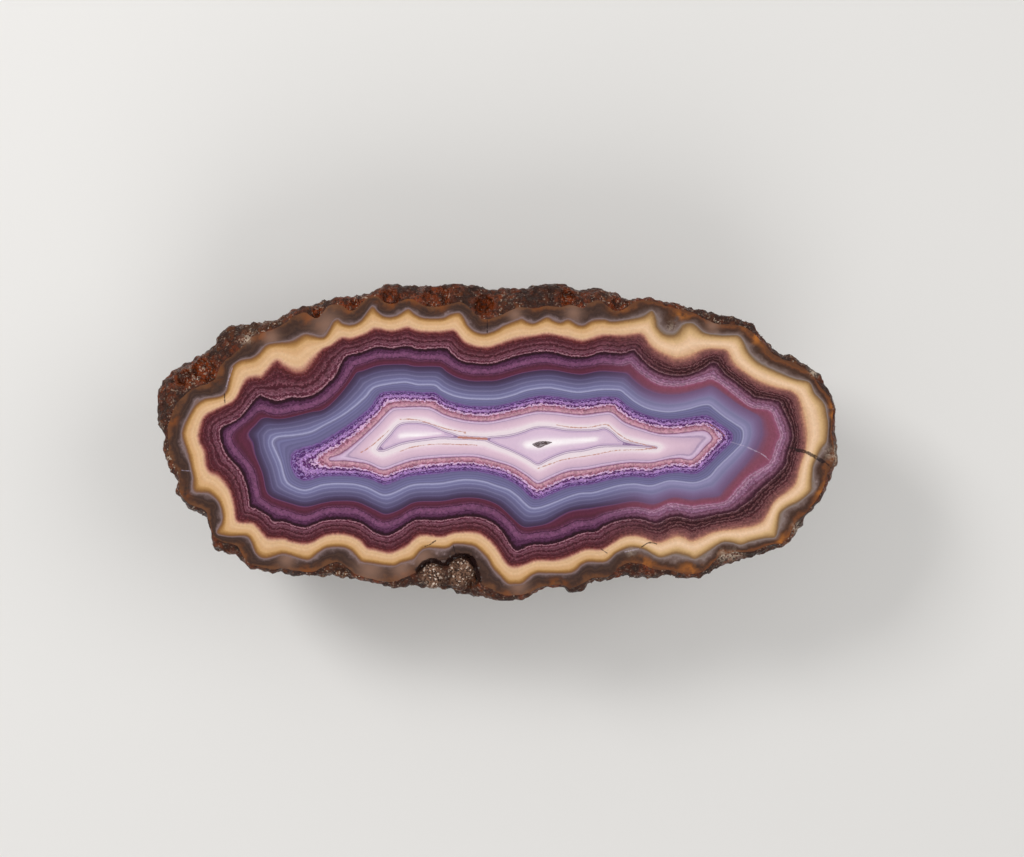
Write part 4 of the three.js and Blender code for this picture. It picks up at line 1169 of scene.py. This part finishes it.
class BuildPocketCrystals(bpy.types.Operator):
    """Lines the small pocket with one crust of tiny quartz crystals"""

    bl_idname = "agate.pocket_crystals"
    bl_label = "Pocket crystals"

    def execute(self, context):
        settings = context.scene.agate_stone
        bed = crystal_bed(
            "pocket_crystals", lambda face: face.material_index == POCKET_WALL,
            lambda vert: float(vert.co.z < (FACE - 0.6 * POCKET_DEPTH) * MM),
        )
        material = druse("pocket_quartz_crystals", linear("8A7A7E"), linear("F4EEF2"), 0.3)
        grow_crystals(bed, "pocket_crystals", material, settings.crystal_count, settings.crystal_size)
        return {"FINISHED"}


class BuildStage(bpy.types.Operator):
    """Makes the floor, the soft lights and the camera straight above the face"""

    bl_idname = "agate.stage"
    bl_label = "Stage"

    def execute(self, context):
        scene = context.scene
        settings = scene.agate_stage
        board = bpy.data.meshes.new("floor")
        corners = [(x * FLOOR_REACH, y * FLOOR_REACH, 0) for x, y in ((-1, -1), (1, -1), (1, 1), (-1, 1))]
        board.from_pydata(corners, [], [(0, 1, 2, 3)])
        board.materials.append(floor_material(settings.floor))
        ground = bpy.data.objects.new("floor", board)
        scene.collection.objects.link(ground)
        for name, (kind, place, width, share) in LIGHTS.items():
            lamp = bpy.data.lights.new(name, kind)
            lamp.energy = settings.key_power * share
            setattr(lamp, "size" if kind == "AREA" else "angle", width)
            holder = bpy.data.objects.new(name, lamp)
            holder.location = place
            holder.rotation_euler = (LIT_PLACE - Vector(place)).to_track_quat("-Z", "Y").to_euler()
            scene.collection.objects.link(holder)
        world = bpy.data.worlds.new("soft_room")
        world.use_nodes = True
        room = world.node_tree.nodes["Background"]
        room.inputs[0].default_value = linear("F2F2F2")
        room.inputs[1].default_value = ROOM_LIGHT
        scene.world = world
        scene.view_settings.view_transform = "Standard"
        lens = bpy.data.cameras.new("camera")
        lens.lens = 100
        lens.sensor_width = 36
        camera = bpy.data.objects.new("camera", lens)
        x, y = (np.array(VIEW_CENTRE) - MIDDLE) * MM
        camera.location = (x, y, TOP + settings.lens_height)
        scene.collection.objects.link(camera)
        scene.camera = camera
        return {"FINISHED"}


class AgatePanel(bpy.types.Panel):
    """Lists the agate's pieces and their settings"""

    bl_idname = "VIEW3D_PT_agate"
    bl_label = "Agate"
    bl_space_type = "VIEW_3D"
    bl_region_type = "UI"
    bl_category = "Agate"

    def draw(self, context):
        for name in GROUPS:
            group = getattr(context.scene, name)
            box = self.layout.box()
            for key in type(group).__annotations__:
                box.prop(group, key)
        for operator in OPERATORS:
            self.layout.operator(operator.bl_idname)


GROUPS = {"agate_stone": AgateStone, "agate_colours": AgateColours, "agate_stage": AgateStage}
OPERATORS = (BuildStone, BuildRimGrains, BuildPocketCrystals, BuildStage)
CLASSES = (*GROUPS.values(), *OPERATORS, AgatePanel)


def register():
    for kind in CLASSES:
        bpy.utils.register_class(kind)
    for name, kind in GROUPS.items():
        setattr(bpy.types.Scene, name, bpy.props.PointerProperty(type=kind))


def unregister():
    for name in GROUPS:
        delattr(bpy.types.Scene, name)
    for kind in reversed(CLASSES):
        bpy.utils.unregister_class(kind)


def main():
    """Builds everything in order."""
    register()
    bpy.ops.agate.stage()
    bpy.ops.agate.stone()
    bpy.ops.agate.rim_grains()
    bpy.ops.agate.pocket_crystals()


if __name__ == "__main__":
    main()
